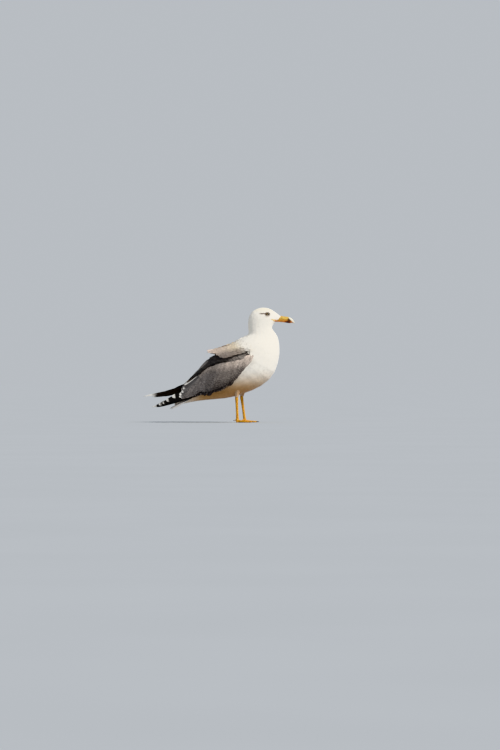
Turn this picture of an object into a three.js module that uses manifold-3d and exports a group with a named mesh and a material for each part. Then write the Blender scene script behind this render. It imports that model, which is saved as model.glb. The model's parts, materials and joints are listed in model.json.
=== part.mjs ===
// A yellow-legged gull standing at rest, life size, as closed solids in millimetres with +Z up.
// The bird faces +X and its left side is +Y. The origin is the middle of its footprint box, on the floor.
// Every form is a loft through cross-sections or an extruded outline; neighbours meet across a small gap.

import * as THREE from "three";
import { mergeVertices } from "three/addons/utils/BufferGeometryUtils.js";
import Module from "manifold-3d";

const wasm = await Module();
wasm.setup();

// ---- Driving dimensions ----

const GAP = 0.3; // clearance between neighbouring solids
const CUT_SPAN = 900; // reach of a parting slab, larger than the bird
const BODY_AROUND = 22; // facets round the body
const BODY_ALONG = 30; // rings from the bill base to the tail coverts
const BODY_SAG = 0.12; // how far the widest level lies below mid-depth

const EYE_RADIUS = 9;
const EYE_CENTRE = [67, 12.1, 335.5];

const BILL_TIP = [150.5, 306.5]; // x, z of the hook
const LEG_ABREAST = 25; // half the distance between the ankles
const FOOT_TOP = 11; // level of the joint between tarsus and foot
const TOE_LENGTH = 46; // middle toe, without its claw
const TOE_SPREAD = 24; // degrees between the middle toe and each side toe
const OUTER_TOE_SHARE = 0.93; // of the middle toe's length
const INNER_TOE_SHARE = 0.8;
const HIND_TOE_LENGTH = 8;
const WEB_THICK = 1.3;
const FEATHER_THICK = 1.4; // a flight feather's blade
const TAIL_FEATHERS = 12;

// Cross-sections of head, neck, trunk and rump, from the bill base back to the tail coverts:
// [back or crown x, z, breast or belly x, z, half width].
const BODY_SECTIONS = [
  [104.5, 331, 93, 311.8, 7.9],
  [99, 335.8, 88.5, 308, 11.2],
  [90, 342.4, 84.5, 303.5, 15.6],
  [80, 349, 81.5, 299, 19.2],
  [69, 354, 80.5, 294.5, 21.7],
  [55, 356.2, 80.5, 290.5, 23.4],
  [41, 354.8, 82.5, 287, 24.3],
  [26, 349, 85.5, 283.5, 24.7],
  [14, 338, 88.5, 279.5, 25],
  [7.5, 322, 92.5, 274.5, 25.7],
  [6, 304, 97, 267, 27.7],
  [7, 288, 100.5, 256.5, 31.5],
  [8, 276.5, 103, 244.5, 37.5],
  [1, 269, 104, 230, 45.5],
  [-11, 261, 103.5, 209, 53.5],
  [-28, 249, 98.5, 182, 59],
  [-47, 234.5, 86.5, 151.5, 61.5],
  [-66, 222, 62.5, 124.5, 60],
  [-86, 205, 31, 105, 55.5],
  [-104, 187, -4, 91, 49],
  [-121, 167, -38, 80, 41],
  [-138, 148, -72, 74, 33],
  [-154, 129, -106, 71.5, 26],
  [-170, 112, -137, 68.5, 20.5],
  [-186, 96, -167, 64, 16],
  [-203, 82, -192, 58.5, 12],
];

// Where the body is parted, as indices of the sections above.
const PARTED_AT = { headFromNeck: 9.4, neckFromTrunk: 13.2, trunkFromRump: 21 };

// The folded wing's pad of coverts: [top x, y, z, bottom x, y, z, half thickness].
const WING_SECTIONS = [
  [22, 53.5, 206.5, 21, 54.5, 201.5, 3],
  [10, 52.5, 217, 6, 59, 181, 8],
  [-14, 49, 219, -18, 60, 152, 11.5],
  [-44, 42, 216, -50, 60, 125, 14.5],
  [-74, 29, 210, -82, 54, 105, 15.5],
  [-102, 13, 204, -112, 46, 92, 14.5],
  [-126, 5.5, 186, -138, 38, 90, 11],
  [-149, 4, 158.5, -164, 31, 85, 7.5],
  [-173, 3.5, 135, -186, 26, 78, 5],
  [-197, 4, 112, -204, 21, 72.5, 3],
];

// The scapulars, a pad that overhangs the wing's top edge: the same columns.
const SCAPULAR_SECTIONS = [
  [9, 19, 262, 8, 42, 243, 1.5],
  [0, 8, 260, -2, 55, 225, 6],
  [-14, 3.5, 253.5, -18, 63, 213, 8.5],
  [-33, 2.6, 245, -36, 66.5, 206, 10],
  [-55, 2.4, 236, -58, 65.5, 200.5, 10.5],
  [-77, 2.4, 228, -80, 59, 197, 9.5],
  [-97, 3, 223.5, -101, 48, 198, 7],
  [-112, 9, 218.5, -116, 36, 204.5, 3.5],
  [-120.5, 16, 216, -122, 26, 211, 1.2],
];

// The outer primaries of each wing: their common root, [x, z], how far out it lies, the tips from the
// innermost to the outermost, [x, z], and how far out the last one lies.
const PRIMARIES = {
  right: {
    root: [-128, 104],
    rootY: 27,
    tips: [[-228, 78], [-246, 68], [-258, 62], [-270, 57.5], [-282, 52], [-291, 47.5]],
    lastY: 13,
  },
  left: {
    root: [-128, 130],
    rootY: 26,
    tips: [[-226, 98], [-243, 88], [-262, 81], [-280, 77], [-285, 75.5], [-315, 70.5]],
    lastY: 5,
  },
};
const PRIMARY_HALF_WIDTHS = [10.5, 10, 9.5, 8.5, 7.5, 3.5];
const PRIMARY_STEP = 0.7; // how far each primary lies inside the one before it
const PRIMARY_DROP = 1.6; // and how far below it at the root

const COLOURS = {
  white: 0xf2efe9,
  grey: 0x8a8683,
  black: 0x17171a,
  bill: 0xd9a93c,
  leg: 0xe6a52a,
  claw: 0x2a2320,
  eye: 0xb8a255,
};

// ---- Geometry helpers ----

const vector = (x, y, z) => new THREE.Vector3(x, y, z);

/** A smooth curve that passes one list item per unit of its index. */
function smooth(points) {
  return new THREE.CatmullRomCurve3(points, false, "catmullrom", 0.5);
}

/** A closed body through cross-sections { centre, up, side }, each an ellipse of two half axes. */
function loft(sections, around, along, sag = 0) {
  const centre = smooth(sections.map((s) => s.centre));
  const up = smooth(sections.map((s) => s.up));
  const side = smooth(sections.map((s) => s.side));
  const geometry = new THREE.CylinderGeometry(1, 1, 1, around, along);
  const place = geometry.getAttribute("position");
  for (let i = 0; i < place.count; i++) {
    const t = Math.min(Math.max(0.5 - place.getY(i), 0), 1);
    const rise = place.getX(i);
    const across = place.getZ(i);
    const point = centre
      .getPoint(t)
      .addScaledVector(up.getPoint(t), rise - sag * across * across)
      .addScaledVector(side.getPoint(t), across);
    place.setXYZ(i, point.x, point.y, point.z);
  }
  return geometry;
}

/** The manifold solid of a closed geometry, turned to face outwards. */
function solidOf(geometry) {
  const bare = geometry.clone();
  bare.deleteAttribute("normal");
  bare.deleteAttribute("uv");
  const merged = mergeVertices(bare, 1e-3);
  const triVerts = new Uint32Array(merged.index.array);
  const build = () =>
    new wasm.Manifold(
      new wasm.Mesh({ numProp: 3, vertProperties: merged.attributes.position.array, triVerts }),
    );
  const made = build();
  if (made.volume() > 0) return made;
  for (let i = 0; i < triVerts.length; i += 3) {
    [triVerts[i + 1], triVerts[i + 2]] = [triVerts[i + 2], triVerts[i + 1]];
  }
  return build();
}

/** The geometry of a manifold solid. */
function geometryOf(solid) {
  const { numProp, vertProperties, triVerts } = solid.getMesh();
  const places = new Float32Array((vertProperties.length / numProp) * 3);
  for (let i = 0; i < places.length / 3; i++) {
    places.set(vertProperties.subarray(i * numProp, i * numProp + 3), i * 3);
  }
  return new THREE.BufferGeometry()
    .setAttribute("position", new THREE.BufferAttribute(places, 3))
    .setIndex(new THREE.BufferAttribute(triVerts, 1));
}

/** The largest body of a solid that a cut has left in pieces. */
function largest(solid) {
  return solid.decompose().sort((a, b) => b.volume() - a.volume())[0];
}

/** Sorting order that puts the solid whose top is higher first. */
function higherFirst(a, b) {
  return b.boundingBox().max[2] - a.boundingBox().max[2];
}

/** A thin slab across the line from one side-view point to another, for parting a body. */
function slab(fromX, fromZ, toX, toZ) {
  const box = new THREE.BoxGeometry(CUT_SPAN, CUT_SPAN, GAP);
  const lean = Math.atan2(toZ - fromZ, toX - fromX);
  box.rotateY(-lean);
  box.translate((fromX + toX) / 2, 0, (fromZ + toZ) / 2);
  return solidOf(box);
}

/** The union of several solids. */
const joined = (solids) => solids.reduce((sum, solid) => sum.add(solid));

// The left side is +Y.
const sideSign = { left: 1, right: -1 };

// ---- Body ----

/** The body's cross-sections, grown by a margin so that neighbours can be cut clear of it. */
function bodySections(margin = 0) {
  return BODY_SECTIONS.map(([backX, backZ, frontX, frontZ, halfWidth]) => {
    const up = vector(backX - frontX, 0, backZ - frontZ).multiplyScalar(0.5);
    return {
      centre: vector((backX + frontX) / 2, 0, (backZ + frontZ) / 2),
      up: up.setLength(up.length() + margin),
      side: vector(0, halfWidth + margin, 0),
    };
  });
}

/** The whole body as one solid. */
function bodySolid(margin = 0) {
  return solidOf(loft(bodySections(margin), BODY_AROUND, BODY_ALONG, BODY_SAG));
}

/** A parting slab through the body at a fractional section index. */
function slabAt(index) {
  const low = Math.floor(index);
  const share = index - low;
  const line = BODY_SECTIONS[low].map((v, i) => v + (BODY_SECTIONS[low + 1][i] - v) * share);
  return slab(line[0], line[1], line[2], line[3]);
}

/** Head, neck, trunk and rump, parted by thin cuts, with the eyes' sockets opened in the head. */
function bodyParts() {
  const [head, neck, trunk, rump] = Object.values(PARTED_AT)
    .reduce((solid, index) => solid.subtract(slabAt(index)), bodySolid())
    .decompose()
    .sort(higherFirst);
  const sockets = Object.values(sideSign).map((sign) => solidOf(eyeball(sign, GAP)));
  return { head: head.subtract(joined(sockets)), neck, trunk, rump };
}

/** One eyeball. */
function eyeball(sign, margin = 0) {
  const ball = new THREE.SphereGeometry(EYE_RADIUS + margin, 16, 8);
  return ball.translate(EYE_CENTRE[0], sign * EYE_CENTRE[1], EYE_CENTRE[2]);
}

// ---- Bill ----

// The closed bill, ridge, angle of the gonys and hook: [x, top z, bottom z, half width].
const BILL_ROWS = [
  [87, 332, 311.8, 7.9],
  [96, 331.8, 311.6, 7.4],
  [104, 331, 311.2, 6.8],
  [112, 329.8, 310.7, 6],
  [121, 328.4, 309.6, 5.3],
  [130, 327.6, 308, 4.9],
  [136, 326, 307.6, 4.3],
  [141, 322.8, 308.6, 3.6],
  [145.5, 318.4, 308.4, 2.7],
  [148.8, 314, BILL_TIP[1] + 0.4, 1.8],
  [BILL_TIP[0], 309.4, BILL_TIP[1], 0.9],
];

// Where the halves meet, from inside the head to the lower half's tip: [x, z].
const MOUTH_LINE = [
  [80, 322],
  [110, 319.8],
  [125, 317.8],
  [135, 315.6],
  [140.5, 312.6],
  [143.3, 308.5],
  [144.3, 302],
];

/** A thin plate along a side-view line, reaching across the bird. */
function ribbon(points, thick) {
  const line = points.map(([x, z]) => new THREE.Vector2(x, z));
  const edge = (offset) =>
    line.map((point, i) => {
      const before = line[Math.max(i - 1, 0)];
      const after = line[Math.min(i + 1, line.length - 1)];
      const along = after.clone().sub(before).normalize();
      return point.clone().add(new THREE.Vector2(-along.y, along.x).multiplyScalar(offset));
    });
  const outline = new THREE.Shape([...edge(thick / 2), ...edge(-thick / 2).reverse()]);
  const plate = new THREE.ExtrudeGeometry(outline, { depth: CUT_SPAN, bevelEnabled: false });
  return solidOf(plate.translate(0, 0, -CUT_SPAN / 2).rotateX(Math.PI / 2));
}

/** Upper and lower bill, parted along the mouth line and seated against the head. */
function billParts() {
  const sections = BILL_ROWS.map(([x, top, bottom, halfWidth]) => ({
    centre: vector(x, 0, (top + bottom) / 2),
    up: vector(0, 0, (top - bottom) / 2),
    side: vector(0, halfWidth, 0),
  }));
  const whole = solidOf(loft(sections, 12, 16)).subtract(bodySolid(GAP));
  const [upper, lower] = whole
    .subtract(ribbon(MOUTH_LINE, GAP))
    .decompose()
    .sort((a, b) => b.volume() - a.volume())
    .slice(0, 2)
    .sort(higherFirst);
  return { bill_upper: upper, bill_lower: lower };
}

// ---- Wings and tail ----

/** Sections of a pad that lies on the bird's side, grown by a margin. */
function padSections(rows, sign, margin = 0) {
  return rows.map(([topX, topY, topZ, lowX, lowY, lowZ, halfThick]) => {
    const top = vector(topX, sign * topY, topZ);
    const low = vector(lowX, sign * lowY, lowZ);
    const up = top.clone().sub(low).multiplyScalar(0.5);
    const outwards = vector(0, up.z, -up.y).multiplyScalar(sign).normalize();
    return {
      centre: top.clone().add(low).multiplyScalar(0.5),
      up: up.setLength(up.length() + margin),
      side: outwards.multiplyScalar(halfThick + margin),
    };
  });
}

/** A pad's solid. */
function pad(rows, sign, margin = 0, around = 12, along = 13) {
  return solidOf(loft(padSections(rows, sign, margin), around, along));
}

/** A flight feather's blade from root to tip: an outline with a rounded tip, facing the normal. */
function blade(root, tip, halfWidth, normal, thick = FEATHER_THICK) {
  const along = tip.clone().sub(root);
  const length = along.length();
  along.normalize();
  const across = normal.clone().cross(along).normalize();
  const facing = along.clone().cross(across);
  const outline = new THREE.Shape();
  outline.moveTo(0, -0.45 * halfWidth);
  outline.lineTo(0.7 * length, -halfWidth);
  outline.bezierCurveTo(0.9 * length, -halfWidth, length, -0.55 * halfWidth, length, 0);
  outline.bezierCurveTo(length, 0.55 * halfWidth, 0.9 * length, halfWidth, 0.7 * length, halfWidth);
  outline.lineTo(0, 0.45 * halfWidth);
  const plate = new THREE.ExtrudeGeometry(outline, {
    depth: thick,
    bevelEnabled: false,
    curveSegments: 2,
  });
  plate.translate(0, 0, -thick / 2);
  plate.applyMatrix4(new THREE.Matrix4().makeBasis(along, across, facing).setPosition(root));
  return solidOf(plate);
}

/** The stack of outer primaries of one wing, in one plane, whose tips step back towards the tail. */
function primaries(name) {
  const sign = sideSign[name];
  const { root, rootY, tips, lastY } = PRIMARIES[name];
  const [lastX, lastZ] = tips[tips.length - 1];
  const start = vector(root[0], sign * rootY, root[1]);
  const end = vector(lastX, sign * lastY, lastZ);
  const axis = end.clone().sub(start).normalize();
  const facing = vector(0, sign, 0.7);
  facing.addScaledVector(axis, -facing.dot(axis)).normalize();
  const below = axis.clone().cross(facing).multiplyScalar(-sign);
  const blades = tips.map(([x, z], i) => {
    const slip = facing.clone().multiplyScalar(-PRIMARY_STEP * i);
    const rise = facing.x * (x - end.x) + facing.z * (z - end.z);
    const tip = vector(x, end.y - rise / facing.y, z).add(slip);
    const base = start.clone().add(slip).addScaledVector(below, PRIMARY_DROP * i);
    return blade(base, tip, PRIMARY_HALF_WIDTHS[i], facing);
  });
  return joined(blades);
}

/** The closed tail: paired feathers fanned from one root, the middle pair on top. */
function tailFan() {
  const root = vector(-112, 0, 113.5);
  const length = 143;
  const slope = THREE.MathUtils.degToRad(-30.5);
  const spread = THREE.MathUtils.degToRad(2.1);
  const feathers = [];
  for (let i = 0; i < TAIL_FEATHERS; i++) {
    const rank = i - (TAIL_FEATHERS - 1) / 2;
    const turn = rank * spread;
    const reach = length - 0.12 * rank * rank;
    const level = 1.6 - 0.7 * Math.abs(rank);
    const aim = vector(
      -Math.cos(turn) * Math.cos(slope),
      Math.sin(turn),
      Math.cos(turn) * Math.sin(slope),
    );
    const facing = vector(Math.sin(slope), rank * 0.045, Math.cos(slope)).normalize();
    const start = root.clone().addScaledVector(facing, level);
    feathers.push(blade(start, start.clone().addScaledVector(aim, reach), 9.5, facing));
  }
  return joined(feathers);
}

/** Everything on the wings, cut clear of the body and of each other. */
function wingParts() {
  const clearBody = bodySolid(GAP);
  const tail = largest(tailFan().subtract(clearBody));
  const parts = { tail };
  let taken = clearBody.add(tail.translate([0, 0, GAP]).add(tail));
  for (const [name, sign] of Object.entries(sideSign)) {
    const wing = pad(WING_SECTIONS, sign);
    const clearWing = pad(WING_SECTIONS, sign, GAP);
    parts[`wing_${name}`] = largest(wing.subtract(taken));
    parts[`primaries_${name}`] = largest(primaries(name).subtract(taken.add(clearWing)));
    parts[`scapulars_${name}`] = largest(
      pad(SCAPULAR_SECTIONS, sign, 0, 12, 10).subtract(clearBody.add(clearWing)),
    );
  }
  return parts;
}

// ---- Legs ----

// Each leg: where the ankle and the foot's joint are in side view, and how far the toes turn out.
const LEGS = {
  right: { knee: [-27, 104], ankle: [-29, 75.5], foot: [-26.5, FOOT_TOP], turnOut: 7 },
  left: { knee: [-11, 104], ankle: [-13.5, 77], foot: [-4.5, FOOT_TOP], turnOut: 32 },
};

/** Round sections along a straight limb: rows of [share of the way, depth, width] half axes. */
function limbSections(from, to, rows) {
  const along = to.clone().sub(from).normalize();
  const forward = vector(0, 1, 0).cross(along).normalize();
  return rows.map(([share, depth, width]) => ({
    centre: from.clone().lerp(to, share),
    up: forward.clone().multiplyScalar(depth),
    side: vector(0, width, 0),
  }));
}

/** The leg's shank and tarsus: a slim column with a knob at the ankle. */
function legColumn({ knee, ankle, foot }, y) {
  const [kneeAt, ankleAt, footAt] = [knee, ankle, foot].map(([x, z]) => vector(x, y, z));
  const shank = limbSections(kneeAt, ankleAt, [
    [0, 11, 10],
    [0.5, 7, 6.3],
    [0.8, 4.6, 4.1],
    [1.05, 4.8, 4.4],
  ]);
  const tarsus = limbSections(ankleAt, footAt, [
    [-0.04, 4.8, 4.4],
    [0.05, 5.3, 4.3],
    [0.16, 4.6, 3.3],
    [0.5, 4.1, 2.9],
    [0.85, 4.3, 3.2],
    [1.0, 4.9, 3.9],
  ]);
  return { shank: solidOf(loft(shank, 8, 5)), tarsus: solidOf(loft(tarsus, 8, 8)) };
}

/** A toe along the floor with its joints' swellings, from the foot's joint outwards. */
function toe(from, aim, length, thick) {
  const rows = [
    [0, 1.15],
    [0.18, 0.92],
    [0.36, 1.06],
    [0.52, 0.84],
    [0.66, 0.98],
    [0.84, 0.76],
    [1, 0.66],
  ];
  const across = vector(-aim.y, aim.x, 0);
  const sections = rows.map(([share, swell]) => {
    const rise = THREE.MathUtils.lerp(5, 2.1, Math.min(1, share * 1.4));
    return {
      centre: from.clone().addScaledVector(aim, share * length).setZ(rise),
      up: vector(0, 0, Math.max(thick * swell, rise * 0.95)),
      side: across.clone().multiplyScalar(thick * swell),
    };
  });
  return solidOf(loft(sections, 6, 8));
}

/** A claw ahead of a toe's end: a short cone that curves down to the floor. */
function claw(base, aim, length, thick) {
  const across = vector(-aim.y, aim.x, 0);
  const rows = [
    [0, 0, 1],
    [0.4, 0.1, 0.78],
    [0.75, -0.25, 0.5],
    [1, -0.85, 0.16],
  ];
  const sections = rows.map(([share, lift, size]) => ({
    centre: base.clone().addScaledVector(aim, share * length).add(vector(0, 0, lift)),
    up: vector(0, 0, thick * size),
    side: across.clone().multiplyScalar(thick * size * 0.8),
  }));
  return loft(sections, 6, 3);
}

/** The skin stretched between the toes, scalloped along its front edge. */
function membrane(joint, ends) {
  const web = new THREE.Shape();
  web.moveTo(joint.x, joint.y);
  web.lineTo(ends[0].x, ends[0].y);
  for (let i = 1; i < ends.length; i++) {
    const middle = ends[i - 1].clone().add(ends[i]).multiplyScalar(0.5).lerp(joint, 0.16);
    web.quadraticCurveTo(middle.x, middle.y, ends[i].x, ends[i].y);
  }
  const extent = { depth: WEB_THICK, bevelEnabled: false, curveSegments: 3 };
  return solidOf(new THREE.ExtrudeGeometry(web, extent));
}

/** The short raised hind toe. */
function hindToe(joint, aim) {
  const rows = [
    [0, 2.2, 9.5],
    [0.5, 2.1, 8],
    [1, 1.5, 6.4],
  ];
  const sections = rows.map(([share, size, level]) => ({
    centre: joint.clone().addScaledVector(aim, 1 + HIND_TOE_LENGTH * share).setZ(level),
    up: vector(0, 0, size),
    side: vector(-aim.y, aim.x, 0).multiplyScalar(size * 0.9),
  }));
  return solidOf(loft(sections, 6, 3));
}

/** The webbed foot, cut off flat by the floor, and its four claws. */
function footParts({ foot, turnOut }, y, sign) {
  const joint = vector(foot[0], y, 0);
  const toes = [-1, 0, 1].map((rank) => {
    const turn = THREE.MathUtils.degToRad(sign * turnOut + rank * TOE_SPREAD);
    const share = rank === 0 ? 1 : rank === sign ? OUTER_TOE_SHARE : INNER_TOE_SHARE;
    return { aim: vector(Math.cos(turn), Math.sin(turn), 0), length: TOE_LENGTH * share };
  });
  const ends = toes.map(({ aim, length }) => joint.clone().addScaledVector(aim, length));
  const knuckle = limbSections(vector(foot[0], y, FOOT_TOP - 0.5), vector(foot[0] + 1, y, -1), [
    [0, 4.8, 3.9],
    [0.5, 5.4, 4.9],
    [1, 4.8, 5],
  ]);
  const hindAim = toes[1].aim.clone().negate();
  const below = solidOf(new THREE.BoxGeometry(400, 400, 20).translate(0, 0, -10));
  const whole = joined([
    membrane(joint, ends),
    solidOf(loft(knuckle, 8, 4)),
    hindToe(joint, hindAim),
    ...toes.map(({ aim, length }) => toe(joint, aim, length, 3.4)),
  ]).subtract(below);
  const claws = toes.map(({ aim, length }) =>
    claw(joint.clone().addScaledVector(aim, length + GAP).setZ(2.1), aim, 7.5, 1.75),
  );
  const hindEnd = joint.clone().addScaledVector(hindAim, 1 + HIND_TOE_LENGTH + GAP).setZ(6.2);
  return { foot: whole, claws: [...claws, claw(hindEnd, hindAim, 4.5, 1.3)].map(solidOf) };
}

/** Shank, tarsus, foot and claws of both legs, as named solids. */
function legParts() {
  const parts = {};
  const clearBody = bodySolid(GAP);
  const clawNames = { right: ["outer", "middle", "inner"], left: ["inner", "middle", "outer"] };
  for (const [name, leg] of Object.entries(LEGS)) {
    const sign = sideSign[name];
    const y = sign * LEG_ABREAST;
    const { shank, tarsus } = legColumn(leg, y);
    const { foot, claws } = footParts(leg, y, sign);
    const ankleCut = slab(leg.ankle[0] - 1, leg.ankle[1], leg.ankle[0] + 1, leg.ankle[1]);
    const column = largest(shank.add(tarsus).subtract(clearBody));
    const [upper, lower] = column
      .subtract(ankleCut)
      .decompose()
      .sort(higherFirst);
    const footCut = slab(leg.foot[0] - 1, FOOT_TOP, leg.foot[0] + 1, FOOT_TOP);
    parts[`shank_${name}`] = upper;
    parts[`tarsus_${name}`] = largest(lower.subtract(footCut).subtract(foot));
    parts[`foot_${name}`] = largest(foot.subtract(footCut));
    [...clawNames[name], "hind"].forEach((toeName, i) => {
      parts[`claw_${name}_${toeName}`] = claws[i];
    });
  }
  return parts;
}

// ---- Assembly ----

/** A named mesh with its material. */
function mesh(name, solid, colour, roughness) {
  const material = new THREE.MeshStandardMaterial({ color: colour, roughness, metalness: 0 });
  const made = new THREE.Mesh(geometryOf(solid), material);
  made.name = name;
  return made;
}

/** The colour and roughness of a node, by its name. */
function finishOf(name) {
  if (name.startsWith("claw")) return [COLOURS.claw, 0.4];
  if (name.startsWith("bill")) return [COLOURS.bill, 0.35];
  if (name.startsWith("eye")) return [COLOURS.eye, 0.1];
  if (/^(tarsus|foot|shank)/.test(name)) return [COLOURS.leg, 0.5];
  if (name.startsWith("primaries")) return [COLOURS.black, 0.6];
  if (/^(wing|scapulars)/.test(name)) return [COLOURS.grey, 0.8];
  return [COLOURS.white, 0.85];
}

const gull = new THREE.Group();
const eyes = {
  eye_left: solidOf(eyeball(sideSign.left)),
  eye_right: solidOf(eyeball(sideSign.right)),
};
for (const [name, solid] of Object.entries({
  ...bodyParts(),
  ...billParts(),
  ...eyes,
  ...wingParts(),
  ...legParts(),
})) {
  gull.add(mesh(name, solid, ...finishOf(name)));
}

// The frame's origin: the middle of the bird's box, on the floor.
const bounds = new THREE.Box3().setFromObject(gull);
const middle = bounds.getCenter(new THREE.Vector3());
gull.position.set(-middle.x, -middle.y, -bounds.min.z);

export default gull;
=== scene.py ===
"""A yellow-legged gull standing at rest: skin, feathers, bill, eyes and legs laid over the fixed frame.

Lengths are in metres. The bird faces +X, its left side is +Y, and it stands on the floor at Z 0.
"""

import json
import logging
import math
from collections.abc import Callable
from dataclasses import dataclass, field, fields
from enum import Enum
from itertools import product

import bmesh
import bpy
import numpy as np
from mathutils import Matrix, Vector
from mathutils.bvhtree import BVHTree

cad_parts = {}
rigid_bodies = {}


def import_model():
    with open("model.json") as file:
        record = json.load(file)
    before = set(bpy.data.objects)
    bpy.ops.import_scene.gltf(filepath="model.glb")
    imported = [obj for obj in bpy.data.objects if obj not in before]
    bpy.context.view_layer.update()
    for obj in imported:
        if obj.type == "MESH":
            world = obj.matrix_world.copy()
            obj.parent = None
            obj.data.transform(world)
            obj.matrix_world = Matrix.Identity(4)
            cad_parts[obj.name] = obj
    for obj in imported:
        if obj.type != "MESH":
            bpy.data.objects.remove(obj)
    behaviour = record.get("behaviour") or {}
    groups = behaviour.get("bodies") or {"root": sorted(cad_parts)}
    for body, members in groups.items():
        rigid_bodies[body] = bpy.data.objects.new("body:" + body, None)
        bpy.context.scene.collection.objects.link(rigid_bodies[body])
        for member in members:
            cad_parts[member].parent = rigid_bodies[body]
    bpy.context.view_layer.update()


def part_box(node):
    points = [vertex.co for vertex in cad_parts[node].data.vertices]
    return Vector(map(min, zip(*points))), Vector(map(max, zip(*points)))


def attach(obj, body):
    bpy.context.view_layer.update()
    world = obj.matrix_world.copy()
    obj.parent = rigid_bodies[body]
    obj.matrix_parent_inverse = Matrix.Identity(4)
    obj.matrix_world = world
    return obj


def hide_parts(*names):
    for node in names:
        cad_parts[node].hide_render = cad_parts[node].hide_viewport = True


Array = np.ndarray
Line = tuple[tuple[float, float], ...]
Chance = np.random.Generator
Material = bpy.types.Material
Mesh = bpy.types.Mesh
Socket = bpy.types.NodeSocket
Colour = tuple[float, float, float]
Painter = Callable[[Array, Array], Array]

LOG = logging.getLogger("gull")
MM = 0.001
ROOT = "root"
PATCH = 0.003  # the width of one feather's patch on the baking map
FORWARD, LEFT, UP = np.eye(3)
NO_TIP = 1.2  # a pale tip that would begin past the feather's end
TIP_BLEND = 0.035  # how gradually a pale tip begins, in feather lengths
CURL = 0.035  # how far a vane's edges curl down, in feather widths
ROOT_SUNK = 0.9 * MM  # how deep a feather's root sits in the coat
EVENINGS = 40  # how often filled heights are evened out
EASES = (0.6, -0.62)  # smoothing pulls points in, then pushes them out again, so that the size is kept


class Side(Enum):
    """The bird's two sides, by the sign of Y."""

    LEFT = 1
    RIGHT = -1

    @property
    def word(self) -> str:
        """The side's name as the frame's nodes write it."""
        return self.name.lower()

    @property
    def out(self) -> Array:
        """The direction away from the bird's middle."""
        return self.value * LEFT


# ---- Numbers and colours ----


def unit(vectors: Array) -> Array:
    """Vectors scaled to length one along their last axis."""
    return vectors / np.maximum(np.linalg.norm(vectors, axis=-1, keepdims=True), 1e-12)


def ramp(low: float, high: float, value: Array) -> Array:
    """A smooth step that is 0 at low and 1 at high, whichever is the larger."""
    share = np.clip((np.asarray(value, float) - low) / (high - low), 0.0, 1.0)
    return share * share * (3.0 - 2.0 * share)


def mix(first: Array, second: Array, share: Array) -> Array:
    """Colours or points part of the way from first to second."""
    share = np.asarray(share)[..., None]
    return first * (1.0 - share) + second * share


def tone(red: int, green: int, blue: int) -> Array:
    """A colour on the screen's 0 to 255 scale as scene-linear light."""
    value = np.array([red, green, blue]) / 255.0
    return np.where(value <= 0.04045, value / 12.92, ((value + 0.055) / 1.055) ** 2.4)


def toned(red: int, green: int, blue: int) -> Array:
    """A dataclass field that holds a colour."""
    return field(default_factory=lambda: tone(red, green, blue))


def spline(knots: Array, at: Array) -> Array:
    """A smooth curve through knots, one unit of the parameter apart.

    Args:
        knots: the points to pass through, one row each.
        at: parameters from 0 to the number of knots less one.

    Returns:
        One row for each parameter.
    """
    knots = np.asarray(knots, float)
    padded = np.vstack([2 * knots[0] - knots[1], knots, 2 * knots[-1] - knots[-2]])
    low = np.clip(np.floor(at).astype(int), 0, len(knots) - 2)
    t = (at - low)[:, None]
    a, b, c, d = (padded[low + i] for i in range(4))
    return 0.5 * (
        2 * b + (c - a) * t + (2 * a - 5 * b + 4 * c - d) * t**2 + (3 * b - a - 3 * c + d) * t**3
    )


def box_of(*nodes: str) -> tuple[Array, Array]:
    """The lowest and highest corners of several nodes together."""
    corners = np.array([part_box(node) for node in nodes])
    return corners[:, 0].min(axis=0), corners[:, 1].max(axis=0)


def corners_of(*nodes: str) -> Array:
    """The corners of several nodes' faces, one row each."""
    return np.array([vertex.co for node in nodes for vertex in bpy.data.objects[node].data.vertices])


def spot(node: str, forward: float, upward: float) -> Array:
    """The point in a node's middle plane at shares of its length and height."""
    low, high = box_of(node)
    return low + np.array([forward, 0.5, upward]) * (high - low)


# ---- Solids, surfaces and the feathers that lie on them ----


class Solid:
    """Meshes as one surface that rays can be cast at."""

    def __init__(self, *meshes: Mesh) -> None:
        """Gathers the meshes' faces.

        Args:
            meshes: closed meshes.
        """
        points: list[Vector] = []
        faces: list[tuple[int, ...]] = []
        for mesh in meshes:
            start = len(points)
            points.extend(vertex.co.copy() for vertex in mesh.vertices)
            faces.extend(tuple(start + i for i in face.vertices) for face in mesh.polygons)
        self.tree = BVHTree.FromPolygons(points, faces)

    @classmethod
    def of_nodes(cls, *nodes: str) -> "Solid":
        """The frame's nodes of these names."""
        return cls(*(bpy.data.objects[node].data for node in nodes))

    def way_out(self, start: Vector, aim: Vector) -> Vector:
        """The place where a line from inside leaves the surface."""
        hit = self.tree.ray_cast(start, aim)[0]
        return hit if hit is not None else start

    def covers(self, start: Vector, aim: Vector, reach: float) -> bool:
        """Whether the surface lies over a point within reach along a direction."""
        return self.tree.ray_cast(start, aim, reach)[0] is not None


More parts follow.
